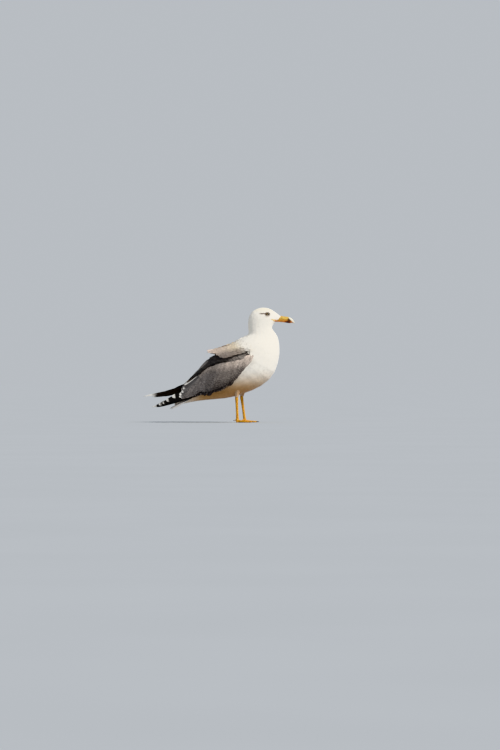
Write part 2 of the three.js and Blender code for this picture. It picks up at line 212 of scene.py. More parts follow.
@dataclass
class Surface:
    """A grid of points whose rows follow the lie of the feathers and whose columns run across it."""

    points: Array
    closed: bool
    outward: Array
    normals: Array = field(init=False)
    along: Array = field(init=False)
    across: Array = field(init=False)

    def __post_init__(self) -> None:
        """Works out the directions along, across and out of the surface."""
        self.along = np.gradient(self.points, axis=0)
        if self.closed:
            self.across = (np.roll(self.points, -1, 1) - np.roll(self.points, 1, 1)) / 2
        else:
            self.across = np.gradient(self.points, axis=1)
        normals = unit(np.cross(self.along, self.across))
        self.mirrored = float(np.mean(np.sum(normals * self.outward, axis=-1))) < 0
        self.normals = -normals if self.mirrored else normals

    @property
    def shape(self) -> tuple[int, int]:
        """How many rows and columns there are."""
        return self.points.shape[0], self.points.shape[1]

    def sample(self, grid: Array, u: Array, v: Array, straight: bool) -> Array:
        """Values of a grid between its points.

        Args:
            grid: an array of the surface's shape, with any last axis.
            u: rows, with fractions.
            v: columns, with fractions.
            straight: whether values run straight on past the ends, or stay as they are there.

        Returns:
            One value for each pair of u and v.
        """
        rows, columns = self.shape
        row = np.clip(np.floor(u).astype(int), 0, rows - 2)
        down = u - row
        if self.closed:
            column = np.floor(v).astype(int)
            over = v - column
            column, beside = column % columns, (column + 1) % columns
        else:
            column = np.clip(np.floor(v).astype(int), 0, columns - 2)
            over = v - column
            beside = column + 1
        if not straight:
            down, over = np.clip(down, 0, 1), np.clip(over, 0, 1)
        near = mix(grid[row, column], grid[row, beside], over)
        far = mix(grid[row + 1, column], grid[row + 1, beside], over)
        return mix(near, far, down)

    def place(self, u: Array, v: Array) -> tuple[Array, Array]:
        """Points on the surface, and the outward normals there."""
        return self.sample(self.points, u, v, True), unit(self.sample(self.normals, u, v, False))

    def moved(self, distance: Array) -> "Surface":
        """The surface pushed outwards by a distance at each point."""
        return Surface(self.points + self.normals * distance[..., None], self.closed, self.normals)

    def smoothed(self, rounds: int) -> "Surface":
        """Rounds off the facets and keeps the size.

        Args:
            rounds: how many times the points are eased in and out.

        Returns:
            The smooth surface.
        """
        points = self.points.copy()
        mode = "wrap" if self.closed else "edge"
        for ease in EASES * rounds:
            rows = np.pad(points, ((1, 1), (0, 0), (0, 0)), "reflect", reflect_type="odd")
            both = np.pad(points, ((0, 0), (1, 1), (0, 0)), mode)
            mean = (rows[2:] + rows[:-2] + both[:, 2:] + both[:, :-2]) / 4
            points += ease * (mean - points)
        return Surface(points, self.closed, self.outward)


@dataclass(frozen=True)
class Station:
    """One place along a spine: shares of a node's box, and the lean of the section there."""

    node: str
    forward: float
    upward: float
    lean: float


@dataclass(frozen=True)
class Wrap:
    """A skin drawn round solids: rings of points cast outwards from a spine."""

    nodes: tuple[str, ...]
    stations: tuple[Station, ...]
    rings: int
    columns: int
    turning: float = 0.03  # how far out the sections' turning is measured when rings are spaced
    close_until: float = 0.0  # the station up to which rings stand closer together
    closeness: float = 1.0
    voxel: float = 1.1 * MM
    samples: int = 900  # how finely the spine is measured

    def build(self) -> Surface:
        """Casts the rings.

        Returns:
            The closed surface, its first column along the back.
        """
        form = remeshed("form", self.nodes, self.voxel, 0.25 * MM, 5)
        solid = Solid(form)
        bpy.data.meshes.remove(form)
        knots = [[*spot(s.node, s.forward, s.upward), math.radians(s.lean)] for s in self.stations]
        knots = np.array(knots)
        fine = np.linspace(0, len(knots) - 1, self.samples)
        path = spline(knots, fine)
        steps = np.linalg.norm(np.diff(path[:, :3], axis=0), axis=1)
        steps = steps + self.turning * np.abs(np.diff(path[:, 3]))
        steps = steps * np.where(fine[1:] < self.close_until, self.closeness, 1.0)
        gone = np.concatenate([[0.0], np.cumsum(steps)])
        chosen = np.interp(np.linspace(0, gone[-1], self.rings), gone, fine)
        path = spline(knots, chosen)
        points = np.zeros((self.rings, self.columns, 3))
        for row, (x, y, z, lean) in enumerate(path):
            start = Vector((x, y, z))
            back = Vector((math.cos(lean), 0, math.sin(lean)))
            for column in range(self.columns):
                angle = 2 * math.pi * column / self.columns
                aim = back * math.cos(angle) + Vector((0, math.sin(angle), 0))
                points[row, column] = solid.way_out(start, aim)
        return Surface(points, True, points - path[:, None, :3])


@dataclass(frozen=True)
class Relief:
    """The outer face of solids seen along one direction, as a grid that runs on past their edges."""

    nodes: tuple[str, ...]
    along: Array
    across: Array
    outward: Array
    step: float = 2 * MM
    margin: int = 8  # how many steps the grid runs past the solids' edges
    rounds: int = 6
    clear: float = 10 * MM  # how far outside the solids the rays start

    def build(self) -> "Face":
        """Casts the grid and fills what lies past the solids' edges.

        Returns:
            The face.
        """
        solid = Solid.of_nodes(*self.nodes)
        first, corners = corners_of(self.nodes[0]), corners_of(*self.nodes)
        along, across, outward = (unit(way) for way in (self.along, self.across, self.outward))
        p, q, far = corners @ along, corners @ across, (corners @ outward).max() + self.clear
        at_p = np.arange(p.min() - self.margin * self.step, p.max() + self.margin * self.step, self.step)
        at_q = np.arange(q.min() - self.margin * self.step, q.max() + self.margin * self.step, self.step)
        heights = np.full((len(at_p), len(at_q)), np.nan)
        aim = Vector(-outward)
        for i, j in np.ndindex(heights.shape):
            start = Vector(along * at_p[i] + across * at_q[j] + outward * far)
            reach = solid.tree.ray_cast(start, aim)[3]
            if reach is not None:
                heights[i, j] = far - reach
        heights = self.filled(heights)[..., None]
        points = at_p[:, None, None] * along + at_q[None, :, None] * across + heights * outward
        surface = Surface(points, False, np.broadcast_to(outward, points.shape)).smoothed(self.rounds)
        low = np.array([(first @ along).min(), (first @ across).min()])
        span = np.array([np.ptp(first @ along), np.ptp(first @ across)])
        return Face(surface, low, span, np.array([at_p[0], at_q[0]]), self.step)

    @staticmethod
    def filled(heights: Array) -> Array:
        """Fills gaps from the nearest known heights, then evens out what was filled.

        Args:
            heights: a grid with gaps that are not numbers.

        Returns:
            The whole grid.
        """
        known = ~np.isnan(heights)
        values = np.where(known, heights, 0.0)
        weight = known.astype(float)
        while (weight == 0).any():
            total, count = values * weight, weight.copy()
            for axis in (0, 1):
                for shift in (-1, 1):
                    count += np.roll(weight, shift, axis)
                    total += np.roll(values * weight, shift, axis)
            grown = (weight == 0) & (count > 0)
            values[grown] = total[grown] / count[grown]
            weight[grown] = 1.0
        for _ in range(EVENINGS):
            padded = np.pad(values, 1, "edge")
            mean = padded[2:, 1:-1] + padded[:-2, 1:-1] + padded[1:-1, 2:] + padded[1:-1, :-2]
            values = np.where(known, values, mean / 4)
        return values


@dataclass(frozen=True)
class Face:
    """A relief's surface, on which places are found by shares of its first node's length and breadth."""

    surface: Surface
    low: Array
    span: Array
    start: Array
    step: float

    def find(self, shares: Array) -> tuple[Array, Array]:
        """The rows and columns, with fractions, of shares along and across."""
        at = (self.low + shares * self.span - self.start) / self.step
        return at[..., 0], at[..., 1]

    def from_middle(self, distance: Array) -> Array:
        """Shares across of distances from the bird's middle plane."""
        return (distance - self.low[1]) / self.span[1]


@dataclass(frozen=True)
class Blade:
    """One feather's vane before it is laid: a thin closed leaf, 1 long and 2 wide, root at 0."""

    cuts: tuple[float, ...]
    widths: tuple[float, ...]
    sides: int = 4

    def model(self) -> tuple[Array, Array, Array]:
        """Shapes the leaf.

        Returns:
            Its points (along, across, up), each point's share of the half width, and its triangles.
        """
        bm = bmesh.new()
        turn = Matrix.Translation((0.5, 0, 0)) @ Matrix.Rotation(math.pi / 2, 4, "Y")
        bmesh.ops.create_cone(
            bm, cap_ends=True, segments=self.sides, radius1=1, radius2=1, depth=1, matrix=turn
        )
        for cut in self.cuts[1:-1]:
            bmesh.ops.bisect_plane(
                bm, geom=bm.verts[:] + bm.edges[:] + bm.faces[:], plane_co=(cut, 0, 0), plane_no=(1, 0, 0)
            )
        bmesh.ops.triangulate(bm, faces=bm.faces[:])
        bmesh.ops.recalc_face_normals(bm, faces=bm.faces[:])
        points = np.array([v.co for v in bm.verts])
        faces = np.array([[v.index for v in face.verts] for face in bm.faces])
        bm.free()
        share = points[:, 1].copy()
        width = np.interp(points[:, 0], self.cuts, self.widths)
        points[:, 1] *= width
        points[:, 2] *= np.clip(width, 0.25, 1.0)
        return points, share, faces


CONTOUR = Blade((0.0, 0.34, 0.7, 0.87, 0.96, 1.0), (0.4, 0.95, 1.0, 0.8, 0.48, 0.12))
COVERT = Blade((0.0, 0.2, 0.45, 0.7, 0.86, 0.95, 1.0), (0.3, 0.75, 1.0, 0.98, 0.74, 0.44, 0.12))
FLIGHT = Blade(
    (0.0, 0.12, 0.3, 0.45, 0.58, 0.7, 0.78, 0.84, 0.88, 0.92, 0.955, 0.98, 1.0),
    (0.3, 0.6, 0.85, 0.95, 1.0, 0.99, 0.95, 0.88, 0.8, 0.68, 0.52, 0.34, 0.1),
    8,
)


@dataclass
class Plumes:
    """Many feathers, one entry of each array for each."""

    u: Array
    v: Array
    length: Array
    width: Array
    turn: Array
    depth: Array
    lift: Array
    colour: Array
    tip_colour: Array
    tip_from: Array
    edge: Array
    thick: Array
    bend: Array
    under: Array

    def only(self, chosen: Array) -> "Plumes":
        """The feathers that an index or mask picks out."""
        return Plumes(**{f.name: getattr(self, f.name)[chosen] for f in fields(self)})

    def __len__(self) -> int:
        """How many feathers there are."""
        return len(self.u)

    @classmethod
    def rooted(cls, u: Array, v: Array, colour: Array, **given: Array | float) -> "Plumes":
        """Gathers feathers that are usual but for what is given.

        Args:
            u: the roots' rows on the surface, with fractions.
            v: the roots' columns.
            colour: a colour for each.
            given: the lengths, widths and turns, and what isn't usual; one number stands for all feathers.

        Returns:
            The feathers.
        """
        usual = {
            "depth": 0.8 * MM, "lift": 0.8 * MM, "tip_colour": colour, "tip_from": NO_TIP, "edge": 0.0,
            "thick": 0.3 * MM, "bend": 0.0, "under": colour * 0.8,
        }
        values = {**usual, **given}
        for key in [key for key, value in values.items() if np.isscalar(value)]:
            values[key] = np.full(len(u), values[key])
        return cls(u=u, v=v, colour=colour, **values)


@dataclass(frozen=True)
class Layer:
    """Feathers of one blade laid on one surface."""

    surface: Surface
    blade: Blade
    plumes: Plumes
    soft: float = 0.0  # how far the shading follows the surface rather than each vane
    painter: Painter | None = None  # gives colours by place, which each feather's own then tints

    def mesh(self, name: str, strips: bool = False) -> Mesh:
        """Lays every feather and joins them into one mesh.

        Args:
            name: the mesh's name.
            strips: whether each feather has its own strip of the baking map, or a patch by its place.

        Returns:
            The mesh, with its marking colours and its two maps.
        """
        points, share, faces = self.blade.model()
        s, _, h = points.T
        p = self.plumes
        places, normals = self.laid(points)
        count, each = len(p), len(points)
        white = ramp(0.0, 1.0, (s[None] - p.tip_from[:, None]) / TIP_BLEND + 0.5)
        fringe = p.edge[:, None] * ramp(0.55, 1.0, np.abs(share))[None] * ramp(0.3, 0.6, s)[None]
        colour = np.where((h < -0.1)[None, :, None], p.under[:, None], p.colour[:, None])
        colour = mix(colour, p.tip_colour[:, None], np.maximum(white, fringe))
        if self.painter is not None:
            colour = colour * self.painter(places, normals)
        mesh = bpy.data.meshes.new(name)
        winding = faces[:, ::-1] if self.surface.mirrored else faces
        corners = (winding[None] + (np.arange(count) * each)[:, None, None]).reshape(-1)
        fill_mesh(mesh, places.reshape(-1, 3), corners)
        rim = np.where(np.abs(share) > 0.99, np.sign(share), 0)
        ends = np.empty(2 * len(mesh.edges), np.int32)
        mesh.edges.foreach_get("vertices", ends)
        ends = ends.reshape(-1, 2) % each
        mesh.edges.foreach_set("use_edge_sharp", rim[ends[:, 0]] * rim[ends[:, 1]] > 0)
        if self.soft > 0:
            own = np.empty(3 * len(mesh.polygons), np.float32)
            mesh.polygon_normals.foreach_get("vector", own)
            below = (h[faces] < -0.1).any(1) & (np.ptp(s[faces], axis=1) > 1e-6)
            facing = np.where(below, -1.0, 1.0)
            even = normals.reshape(-1, 3)[corners] * np.tile(np.repeat(facing, 3), count)[:, None]
            blend = mix(np.repeat(own.reshape(-1, 3), 3, axis=0), even, np.float64(self.soft))
            given = mesh.attributes.new("custom_normal", "FLOAT_VECTOR", "CORNER")
            given.data.foreach_set("vector", unit(blend).astype(np.float32).ravel())
        paint(mesh, colour.reshape(-1, 3))
        vane = np.stack(np.broadcast_arrays(s[None], (share / 2 + 0.5)[None]), -1)
        vane = np.broadcast_to(vane, (count, each, 2)).reshape(-1, 2)
        map_corners(mesh, "Vane", vane[corners])
        if strips:
            strip = np.arange(count)[:, None]
            patch = np.stack([np.broadcast_to(s, (count, each)), (strip + share / 2.4 + 0.5) / count], -1)
        else:
            rows, columns = self.surface.shape
            breadth = columns if self.surface.closed else columns - 1
            root = np.stack([p.u / (rows - 1), (p.v / breadth) % 1.0], -1) * (1 - 2 * PATCH) + PATCH
            patch = root[:, None] + np.stack([s - 0.5, share / 2], -1)[None] * PATCH
        map_corners(mesh, "OFBake", patch.reshape(-1, 2)[corners])
        return mesh

    def laid(self, points: Array) -> tuple[Array, Array]:
        """Lays the blade's points for every feather, a row each.

        Args:
            points: their shares of the length, the half width and the thickness.

        Returns:
            The points' places, and the surface's normals there.
        """
        s, t, h = points.T
        p = self.plumes
        along = s[None] * p.length[:, None]
        over = t[None] * p.width[:, None] / 2 + p.bend[:, None] * p.length[:, None] * s[None] ** 2
        cos, sin = np.cos(p.turn)[:, None], np.sin(p.turn)[:, None]
        x, y = along * cos - over * sin, along * sin + over * cos
        surface = self.surface
        e_u = surface.sample(surface.along, p.u, p.v, False)
        e_v = surface.sample(surface.across, p.u, p.v, False)
        d_u = unit(e_u)
        shear = np.sum(e_v * d_u, axis=-1)
        d_v = unit(e_v - shear[:, None] * d_u)
        dv = y / np.sum(e_v * d_v, axis=-1)[:, None]
        du = (x - dv * shear[:, None]) / np.linalg.norm(e_u, axis=-1)[:, None]
        places, normals = surface.place(p.u[:, None] + du, p.v[:, None] + dv)
        rise = 0.1 + 0.9 * ramp(0.0, 0.5, s)[None]
        height = p.depth[:, None] * rise + p.lift[:, None] * s[None] ** 2
        height = height - CURL * p.width[:, None] * t[None] ** 2 + p.thick[:, None] * h[None]
        height = height - ROOT_SUNK * ramp(0.3, 0.0, s)[None]
        return places + normals * height[..., None], normals


def fill_mesh(mesh: Mesh, places: Array, corners: Array, per_face: int = 3) -> None:
    """Gives an empty mesh its points and faces.

    Args:
        mesh: the mesh to fill.
        places: one row for each point.
        corners: the points' numbers round each face, one face after another.
        per_face: how many corners each face has.
    """
    count = len(corners) // per_face
    mesh.vertices.add(len(places))
    mesh.vertices.foreach_set("co", places.astype(np.float32).ravel())
    mesh.loops.add(len(corners))
    mesh.loops.foreach_set("vertex_index", corners.astype(np.int32))
    mesh.polygons.add(count)
    mesh.polygons.foreach_set("loop_start", np.arange(0, count * per_face, per_face, dtype=np.int32))
    mesh.update(calc_edges=True)
    mesh.validate()
    mesh.shade_smooth()


def places_of(mesh: Mesh) -> Array:
    """The places of a mesh's points, one row each."""
    return np.array([vertex.co for vertex in mesh.vertices])


def move_points(mesh: Mesh, places: Array) -> None:
    """Moves a mesh's points to new places."""
    mesh.vertices.foreach_set("co", places.astype(np.float32).ravel())
    mesh.update()


def shrink(mesh: Mesh, distance: float) -> None:
    """Draws a mesh in all over.

    Args:
        mesh: the mesh to change.
        distance: how far each point moves against its normal.
    """
    bm = bmesh.new()
    bm.from_mesh(mesh)
    bm.normal_update()
    for vertex in bm.verts:
        vertex.co -= vertex.normal * distance
    bm.to_mesh(mesh)
    bm.free()


def paint(mesh: Mesh, colours: Array) -> None:
    """Stores a marking colour at each point of a mesh.

    Args:
        mesh: the mesh to colour.
        colours: one row for each point.
    """
    layer = mesh.color_attributes.new("Marking", "FLOAT_COLOR", "POINT")
    values = np.concatenate([np.clip(colours, 0, 1), np.ones((len(colours), 1))], axis=1)
    layer.data.foreach_set("color", values.astype(np.float32).ravel())


def map_corners(mesh: Mesh, name: str, places: Array) -> None:
    """Adds a UV map.

    Args:
        mesh: the mesh that gets it.
        name: the map's name.
        places: one row for each face corner.
    """
    layer = mesh.uv_layers.new(name=name)
    layer.data.foreach_set("uv", places.astype(np.float32).ravel())


def add_piece(mesh: Mesh, finish: Material, slot: str, *stands_for: str) -> None:
    """Links a finished mesh as a piece of the bird, under the mesh's name.

    Args:
        mesh: the mesh, already in place.
        finish: its material.
        slot: the record's material slot; not used.
        stands_for: nodes of the frame that the piece replaces.
    """
    made = bpy.data.objects.new(mesh.name, mesh)
    bpy.context.scene.collection.objects.link(made)
    mesh.materials.clear()
    mesh.materials.append(finish)
    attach(made, ROOT)
    if stands_for:
        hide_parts(*stands_for)
    LOG.info("%s: %d faces", mesh.name, len(mesh.polygons))


def remeshed(name: str, nodes: tuple[str, ...], voxel: float, swell: float, rounds: int) -> Mesh:
    """One rounded solid made from faceted nodes of the frame.

    Args:
        name: the mesh's name.
        nodes: the nodes to fuse.
        voxel: the size of the new mesh's faces.
        swell: how far the nodes grow first, so that thin cuts between them close.
        rounds: how many times the result is smoothed.

    Returns:
        The fused mesh.
    """
    bm = bmesh.new()
    for node in nodes:
        bm.from_mesh(bpy.data.objects[node].data)
    bmesh.ops.remove_doubles(bm, verts=bm.verts[:], dist=1e-6)
    mesh = bpy.data.meshes.new(name + "_fused")
    bm.to_mesh(mesh)
    bm.free()
    shrink(mesh, -swell)
    holder = bpy.data.objects.new(name + "_fused", mesh)
    bpy.context.scene.collection.objects.link(holder)
    fuse = holder.modifiers.new("fuse", "REMESH")
    fuse.mode = "VOXEL"
    fuse.voxel_size = voxel
    fuse.use_smooth_shade = True
    graph = bpy.context.evaluated_depsgraph_get()
    fused = bpy.data.meshes.new_from_object(holder.evaluated_get(graph))
    bpy.data.objects.remove(holder)
    bpy.data.meshes.remove(mesh)
    fused.name = name
    bm = bmesh.new()
    bm.from_mesh(fused)
    for _ in range(rounds):
        bmesh.ops.smooth_vert(
            bm, verts=bm.verts[:], factor=0.5, use_axis_x=True, use_axis_y=True, use_axis_z=True
        )
    bm.to_mesh(fused)
    bm.free()
    shrink(fused, swell)
    fused.shade_smooth()
    return fused


# ---- Finishes ----


class Graph:
    """A material's nodes, added one after another."""

    def __init__(self, name: str) -> None:
        """Starts a material with a Principled shader.

        Args:
            name: the material's name.
        """
        self.material = bpy.data.materials.new(name)
        self.material.use_nodes = True
        self.tree = self.material.node_tree
        self.tree.nodes.clear()
        self.shader = self.tree.nodes.new("ShaderNodeBsdfPrincipled")
        output = self.tree.nodes.new("ShaderNodeOutputMaterial")
        self.join(self.shader.outputs["BSDF"], output.inputs["Surface"])

    def join(self, source: Socket, target: Socket) -> None:
        """Links an output to an input."""
        self.tree.links.new(source, target)

    def node(self, kind: str, **settings: object) -> bpy.types.Node:
        """Adds a node.

        Args:
            kind: its kind without the prefix.
            settings: its own properties.

        Returns:
            The node.
        """
        made = self.tree.nodes.new("ShaderNode" + kind)
        for key, value in settings.items():
            setattr(made, key, value)
        return made

    def feed(self, target: Socket, value: object) -> None:
        """Gives an input its value.

        Args:
            target: the input.
            value: a link or a plain value.
        """
        if isinstance(value, Socket):
            self.join(value, target)
        else:
            target.default_value = value

    def math(self, operation: str, *values: object) -> Socket:
        """Works out a sum.

        Args:
            operation: the sum's kind.
            values: numbers or links.

        Returns:
            The result.
        """
        made = self.node("Math", operation=operation)
        for target, value in zip(made.inputs, values):
            self.feed(target, value)
        return made.outputs[0]

    def finish(self, colour: object, roughness: object, levels: dict[str, float]) -> Material:
        """Gives the shader its colour, its roughness and its fixed levels.

        Args:
            colour: a link.
            roughness: a number or link.
            levels: plain values for its other inputs.

        Returns:
            The material.
        """
        self.feed(self.shader.inputs["Base Color"], colour)
        self.feed(self.shader.inputs["Roughness"], roughness)
        for name, level in levels.items():
            self.shader.inputs[name].default_value = level
        return self.material

    def position(self) -> Socket:
        """The place on the bird, in metres."""
        return self.node("TexCoord").outputs["Object"]

    def vane(self) -> tuple[Socket, Socket]:
        """Reads the map that every feather carries.

        Returns:
            Shares along and across the feather.
        """
        uv = self.node("UVMap", uv_map="Vane").outputs[0]
        parts = self.node("SeparateXYZ")
        self.join(uv, parts.inputs[0])
        return parts.outputs[0], parts.outputs[1]

    def marking(self) -> Socket:
        """The colour stored on the mesh."""
        return self.node("Attribute", attribute_name="Marking").outputs["Color"]

    def lit_marking(self, light: Socket) -> Socket:
        """Makes the marking colour lighter or darker.

        Args:
            light: the number to multiply it by.

        Returns:
            The colour.
        """
        grey = self.node("CombineXYZ")
        for target in grey.inputs:
            self.join(light, target)
        return self.blended(1.0, self.marking(), grey.outputs[0], "MULTIPLY")

    def noise(self, scale: float, detail: float = 3.0, stretch: Colour = (1, 1, 1)) -> Socket:
        """Adds a noise of the bird's own space.

        Args:
            scale: its cells to the metre.
            detail: how many finer noises it holds.
            stretch: what the place is multiplied by first.

        Returns:
            A number about 0.5.
        """
        mapping = self.node("Mapping")
        mapping.inputs["Scale"].default_value = stretch
        self.join(self.position(), mapping.inputs[0])
        made = self.node("TexNoise")
        made.inputs["Scale"].default_value = scale
        made.inputs["Detail"].default_value = detail
        self.join(mapping.outputs[0], made.inputs["Vector"])
        return made.outputs["Fac"]

    def spread(self, value: object, low: float, high: float, to_low: float, to_high: float) -> Socket:
        """Carries a value smoothly from one range to another.

        Args:
            value: a number or link.
            low: one end of its range.
            high: the other end.
            to_low: the result at low.
            to_high: the result at high.

        Returns:
            The result.
        """
        made = self.node("MapRange", interpolation_type="SMOOTHSTEP")
        for target, given in zip(made.inputs, (value, low, high, to_low, to_high)):
            self.feed(target, given)
        return made.outputs[0]

    def blended(self, share: object, first: object, second: object, how: str = "MIX") -> Socket:
        """Mixes two colours.

        Args:
            share: how much of the second, a number or link.
            first: a colour or link.
            second: a colour or link.
            how: the kind of mix.

        Returns:
            The mixed colour.
        """
        made = self.node("Mix", data_type="RGBA", blend_type=how)
        self.feed(made.inputs["Factor"], share)
        for key, value in (("A", first), ("B", second)):
            target = next(s for s in made.inputs if s.name == key and s.type == "RGBA")
            self.feed(target, (*value, 1.0) if isinstance(value, (tuple, np.ndarray)) else value)
        return next(s for s in made.outputs if s.type == "RGBA")

    def bump(self, height: object, distance: float) -> None:
        """Raises the surface.

        Args:
            height: a number or link.
            distance: what the height is multiplied by, in metres.
        """
        made = self.node("Bump")
        made.inputs["Distance"].default_value = distance
        made.inputs["Strength"].default_value = 1.0
        self.feed(made.inputs["Height"], height)
        self.join(made.outputs[0], self.shader.inputs["Normal"])

    def near(self, point: Array) -> Socket:
        """Measures the distance from a point.

        Args:
            point: the point, in metres.

        Returns:
            The distance.
        """
        shift = self.node("Mapping", vector_type="TEXTURE")
        shift.inputs["Location"].default_value = tuple(point)
        self.join(self.position(), shift.inputs[0])
        length = self.node("VectorMath", operation="LENGTH")
        self.join(shift.outputs[0], length.inputs[0])
        return length.outputs["Value"]


@dataclass(frozen=True)
class Plumage:
    """Feathers: the marking colour, with barbs, a shaft, soft mottling and a dull sheen."""

    name: str
    roughness: float = 0.75
    sheen: float = 0.25
    barbs: float = 22.0
    relief: float = 0.12 * MM
    mottle: float = 0.1
    shaft: float = 0.25

    def material(self) -> Material:
        """Builds the finish.

        Returns:
            The material.
        """
        g = Graph(self.name)
        along, across = g.vane()
        off_shaft = g.math("ABSOLUTE", g.math("SUBTRACT", across, 0.5))
        slant = g.math("SUBTRACT", along, g.math("MULTIPLY", off_shaft, 0.55))
        wave = g.math("SINE", g.math("MULTIPLY", slant, 2 * math.pi * self.barbs))
        patch = g.noise(160.0, 4.0)
        fine = g.noise(1400.0, 2.0)
        light = g.spread(patch, 0.3, 0.7, 1.0 - self.mottle, 1.0 + self.mottle * 0.5)
        light = g.math("MULTIPLY", light, g.spread(fine, 0.25, 0.75, 1.0 - self.mottle * 0.6, 1.0))
        on_shaft = g.spread(off_shaft, 0.0, 0.07, 1.0 - self.shaft * 0.5, 1.0)
        light = g.math("MULTIPLY", light, on_shaft)
        stripe = g.spread(wave, -1.0, 1.0, 1.0 - self.shaft * 0.35, 1.0)
        colour = g.lit_marking(g.math("MULTIPLY", light, stripe))
        rough = g.spread(fine, 0.3, 0.7, self.roughness, self.roughness + 0.12)
        height = g.math("ADD", g.math("MULTIPLY", wave, 0.25), fine)
        height = g.math("ADD", height, g.spread(off_shaft, 0.0, 0.06, self.shaft * 3, 0.0))
        g.bump(height, self.relief)
        levels = {"Sheen Weight": self.sheen, "Sheen Roughness": 0.5, "Specular IOR Level": 0.25}
        return g.finish(colour, rough, levels)


@dataclass(frozen=True)
class Hide:
    """The feathered skin under the coat: the same markings, matt, with fine down."""

    name: str

    def material(self) -> Material:
        """Builds the finish.

        Returns:
            The material.
        """
        g = Graph(self.name)
        down = g.noise(900.0, 5.0, (1.0, 1.0, 0.5))
        dark = g.blended(g.spread(down, 0.3, 0.7, 0.25, 0.0), g.marking(), (0.2, 0.17, 0.14), "MULTIPLY")
        g.bump(down, 0.4 * MM)
        return g.finish(dark, g.spread(down, 0.2, 0.8, 0.8, 0.95), {"Sheen Weight": 0.2})


@dataclass(frozen=True)
class Horn:
    """The bill and the bare skin at its corners: the marking colour, streaked lengthwise, and waxy."""

    name: str
    roughness: float = 0.32
    coat: float = 0.25
    grain: float = 500.0
    depth: float = 0.12 * MM

    def material(self) -> Material:
        """Builds the finish.

        Returns:
            The material.
        """
        g = Graph(self.name)
        grain = g.noise(self.grain, 4.0, (0.18, 1.0, 1.0))
        cloud = g.noise(170.0, 3.0)
        streaks, clouds = g.spread(grain, 0.35, 0.65, 0.84, 1.0), g.spread(cloud, 0.3, 0.7, 0.88, 1.06)
        colour = g.lit_marking(g.math("MULTIPLY", streaks, clouds))
        rough = g.spread(grain, 0.3, 0.7, self.roughness, self.roughness + 0.18)
        g.bump(grain, self.depth)
        waxy = {"Subsurface Weight": 0.08, "Subsurface Scale": 2 * MM}
        return g.finish(colour, rough, {"Coat Weight": self.coat, "Coat Roughness": 0.3, **waxy})


@dataclass(frozen=True)
class Gaze:
    """The eye: a black pupil in a pale yellow iris, ringed dark, under a wet clear coat."""

    name: str
    centre: Array
    aim: Array
    radius: float
    pupil: float
    iris: float

    def material(self) -> Material:
        """Builds the finish.

        Returns:
            The material.
        """
        g = Graph(self.name)
        front = self.centre + unit(self.aim) * self.radius
        away = g.near(front)
        speckle = g.noise(2600.0, 3.0)
        iris = g.blended(g.spread(speckle, 0.35, 0.65, 0.0, 1.0), tone(198, 180, 116), tone(150, 124, 62))
        rim = g.spread(away, self.iris * 0.74, self.iris, 0.0, 1.0)
        colour = g.blended(rim, iris, tone(52, 34, 18))
        pupil = g.spread(away, self.pupil * 0.93, self.pupil * 1.07, 1.0, 0.0)
        colour = g.blended(pupil, colour, tone(7, 6, 6))
        g.bump(speckle, 0.03 * MM)
        wet = {"Coat Weight": 1.0, "Coat Roughness": 0.02}
        return g.finish(colour, g.spread(speckle, 0.2, 0.8, 0.08, 0.14), wet)


@dataclass(frozen=True)
class ScalySkin:
    """Bare skin of legs, toes and webs: small scales, with broad plates down the front."""

    name: str
    light: Array
    deep: Array
    crease: Array
    plates: float = 3.4 * MM
    scale: float = 620.0

    def material(self) -> Material:
        """Builds the finish.

        Returns:
            The material.
        """
        g = Graph(self.name)
        cells = g.node("TexVoronoi", feature="DISTANCE_TO_EDGE")
        cells.inputs["Scale"].default_value = self.scale
        stretch = g.node("Mapping")
        stretch.inputs["Scale"].default_value = (1.0, 1.0, 0.7)
        g.join(g.position(), stretch.inputs[0])
        g.join(stretch.outputs[0], cells.inputs["Vector"])
        small = g.spread(cells.outputs["Distance"], 0.0, 0.16, 0.0, 1.0)
        parts = g.node("SeparateXYZ")
        g.join(g.position(), parts.inputs[0])
        turn = g.math("MULTIPLY", parts.outputs[2], 2 * math.pi / self.plates)
        edge = g.spread(g.math("SINE", turn), -1.0, -0.72, 0.0, 1.0)
        facing = g.node("SeparateXYZ")
        g.join(g.node("NewGeometry").outputs["Normal"], facing.inputs[0])
        front = g.spread(facing.outputs[0], 0.35, 0.7, 0.0, 1.0)
        high = g.spread(parts.outputs[2], 10 * MM, 14 * MM, 0.0, 1.0)
        plated = g.math("MULTIPLY", front, high)
        grooves = g.math(
            "ADD",
            g.math("MULTIPLY", edge, plated),
            g.math("MULTIPLY", small, g.math("SUBTRACT", 1.0, plated)),
        )
        cloud = g.noise(220.0, 4.0)
        colour = g.blended(g.spread(cloud, 0.35, 0.68, 0.0, 1.0), self.light, self.deep)
        colour = g.blended(g.spread(grooves, 0.0, 1.0, 0.75, 0.0), colour, self.crease)
        g.bump(grooves, 0.3 * MM)
        levels = {"Coat Weight": 0.08, "Subsurface Weight": 0.06, "Subsurface Scale": 2 * MM}
        return g.finish(colour, g.spread(grooves, 0.0, 1.0, 0.62, 0.42), levels)


@dataclass(frozen=True)
class Plain:
    """A small horny or fleshy part: one tone broken by grain."""

    name: str
    light: Array
    dark: Array
    roughness: float
    grain: float

    def material(self) -> Material:
        """Builds the finish.

        Returns:
            The material.
        """
        g = Graph(self.name)
        grain = g.noise(self.grain, 4.0)
        colour = g.blended(g.spread(grain, 0.3, 0.7, 0.0, 1.0), self.light, self.dark)
        g.bump(grain, 0.15 * MM)
        return g.finish(colour, g.spread(grain, 0.3, 0.7, self.roughness, self.roughness + 0.15), {})


# ---- Markings ----


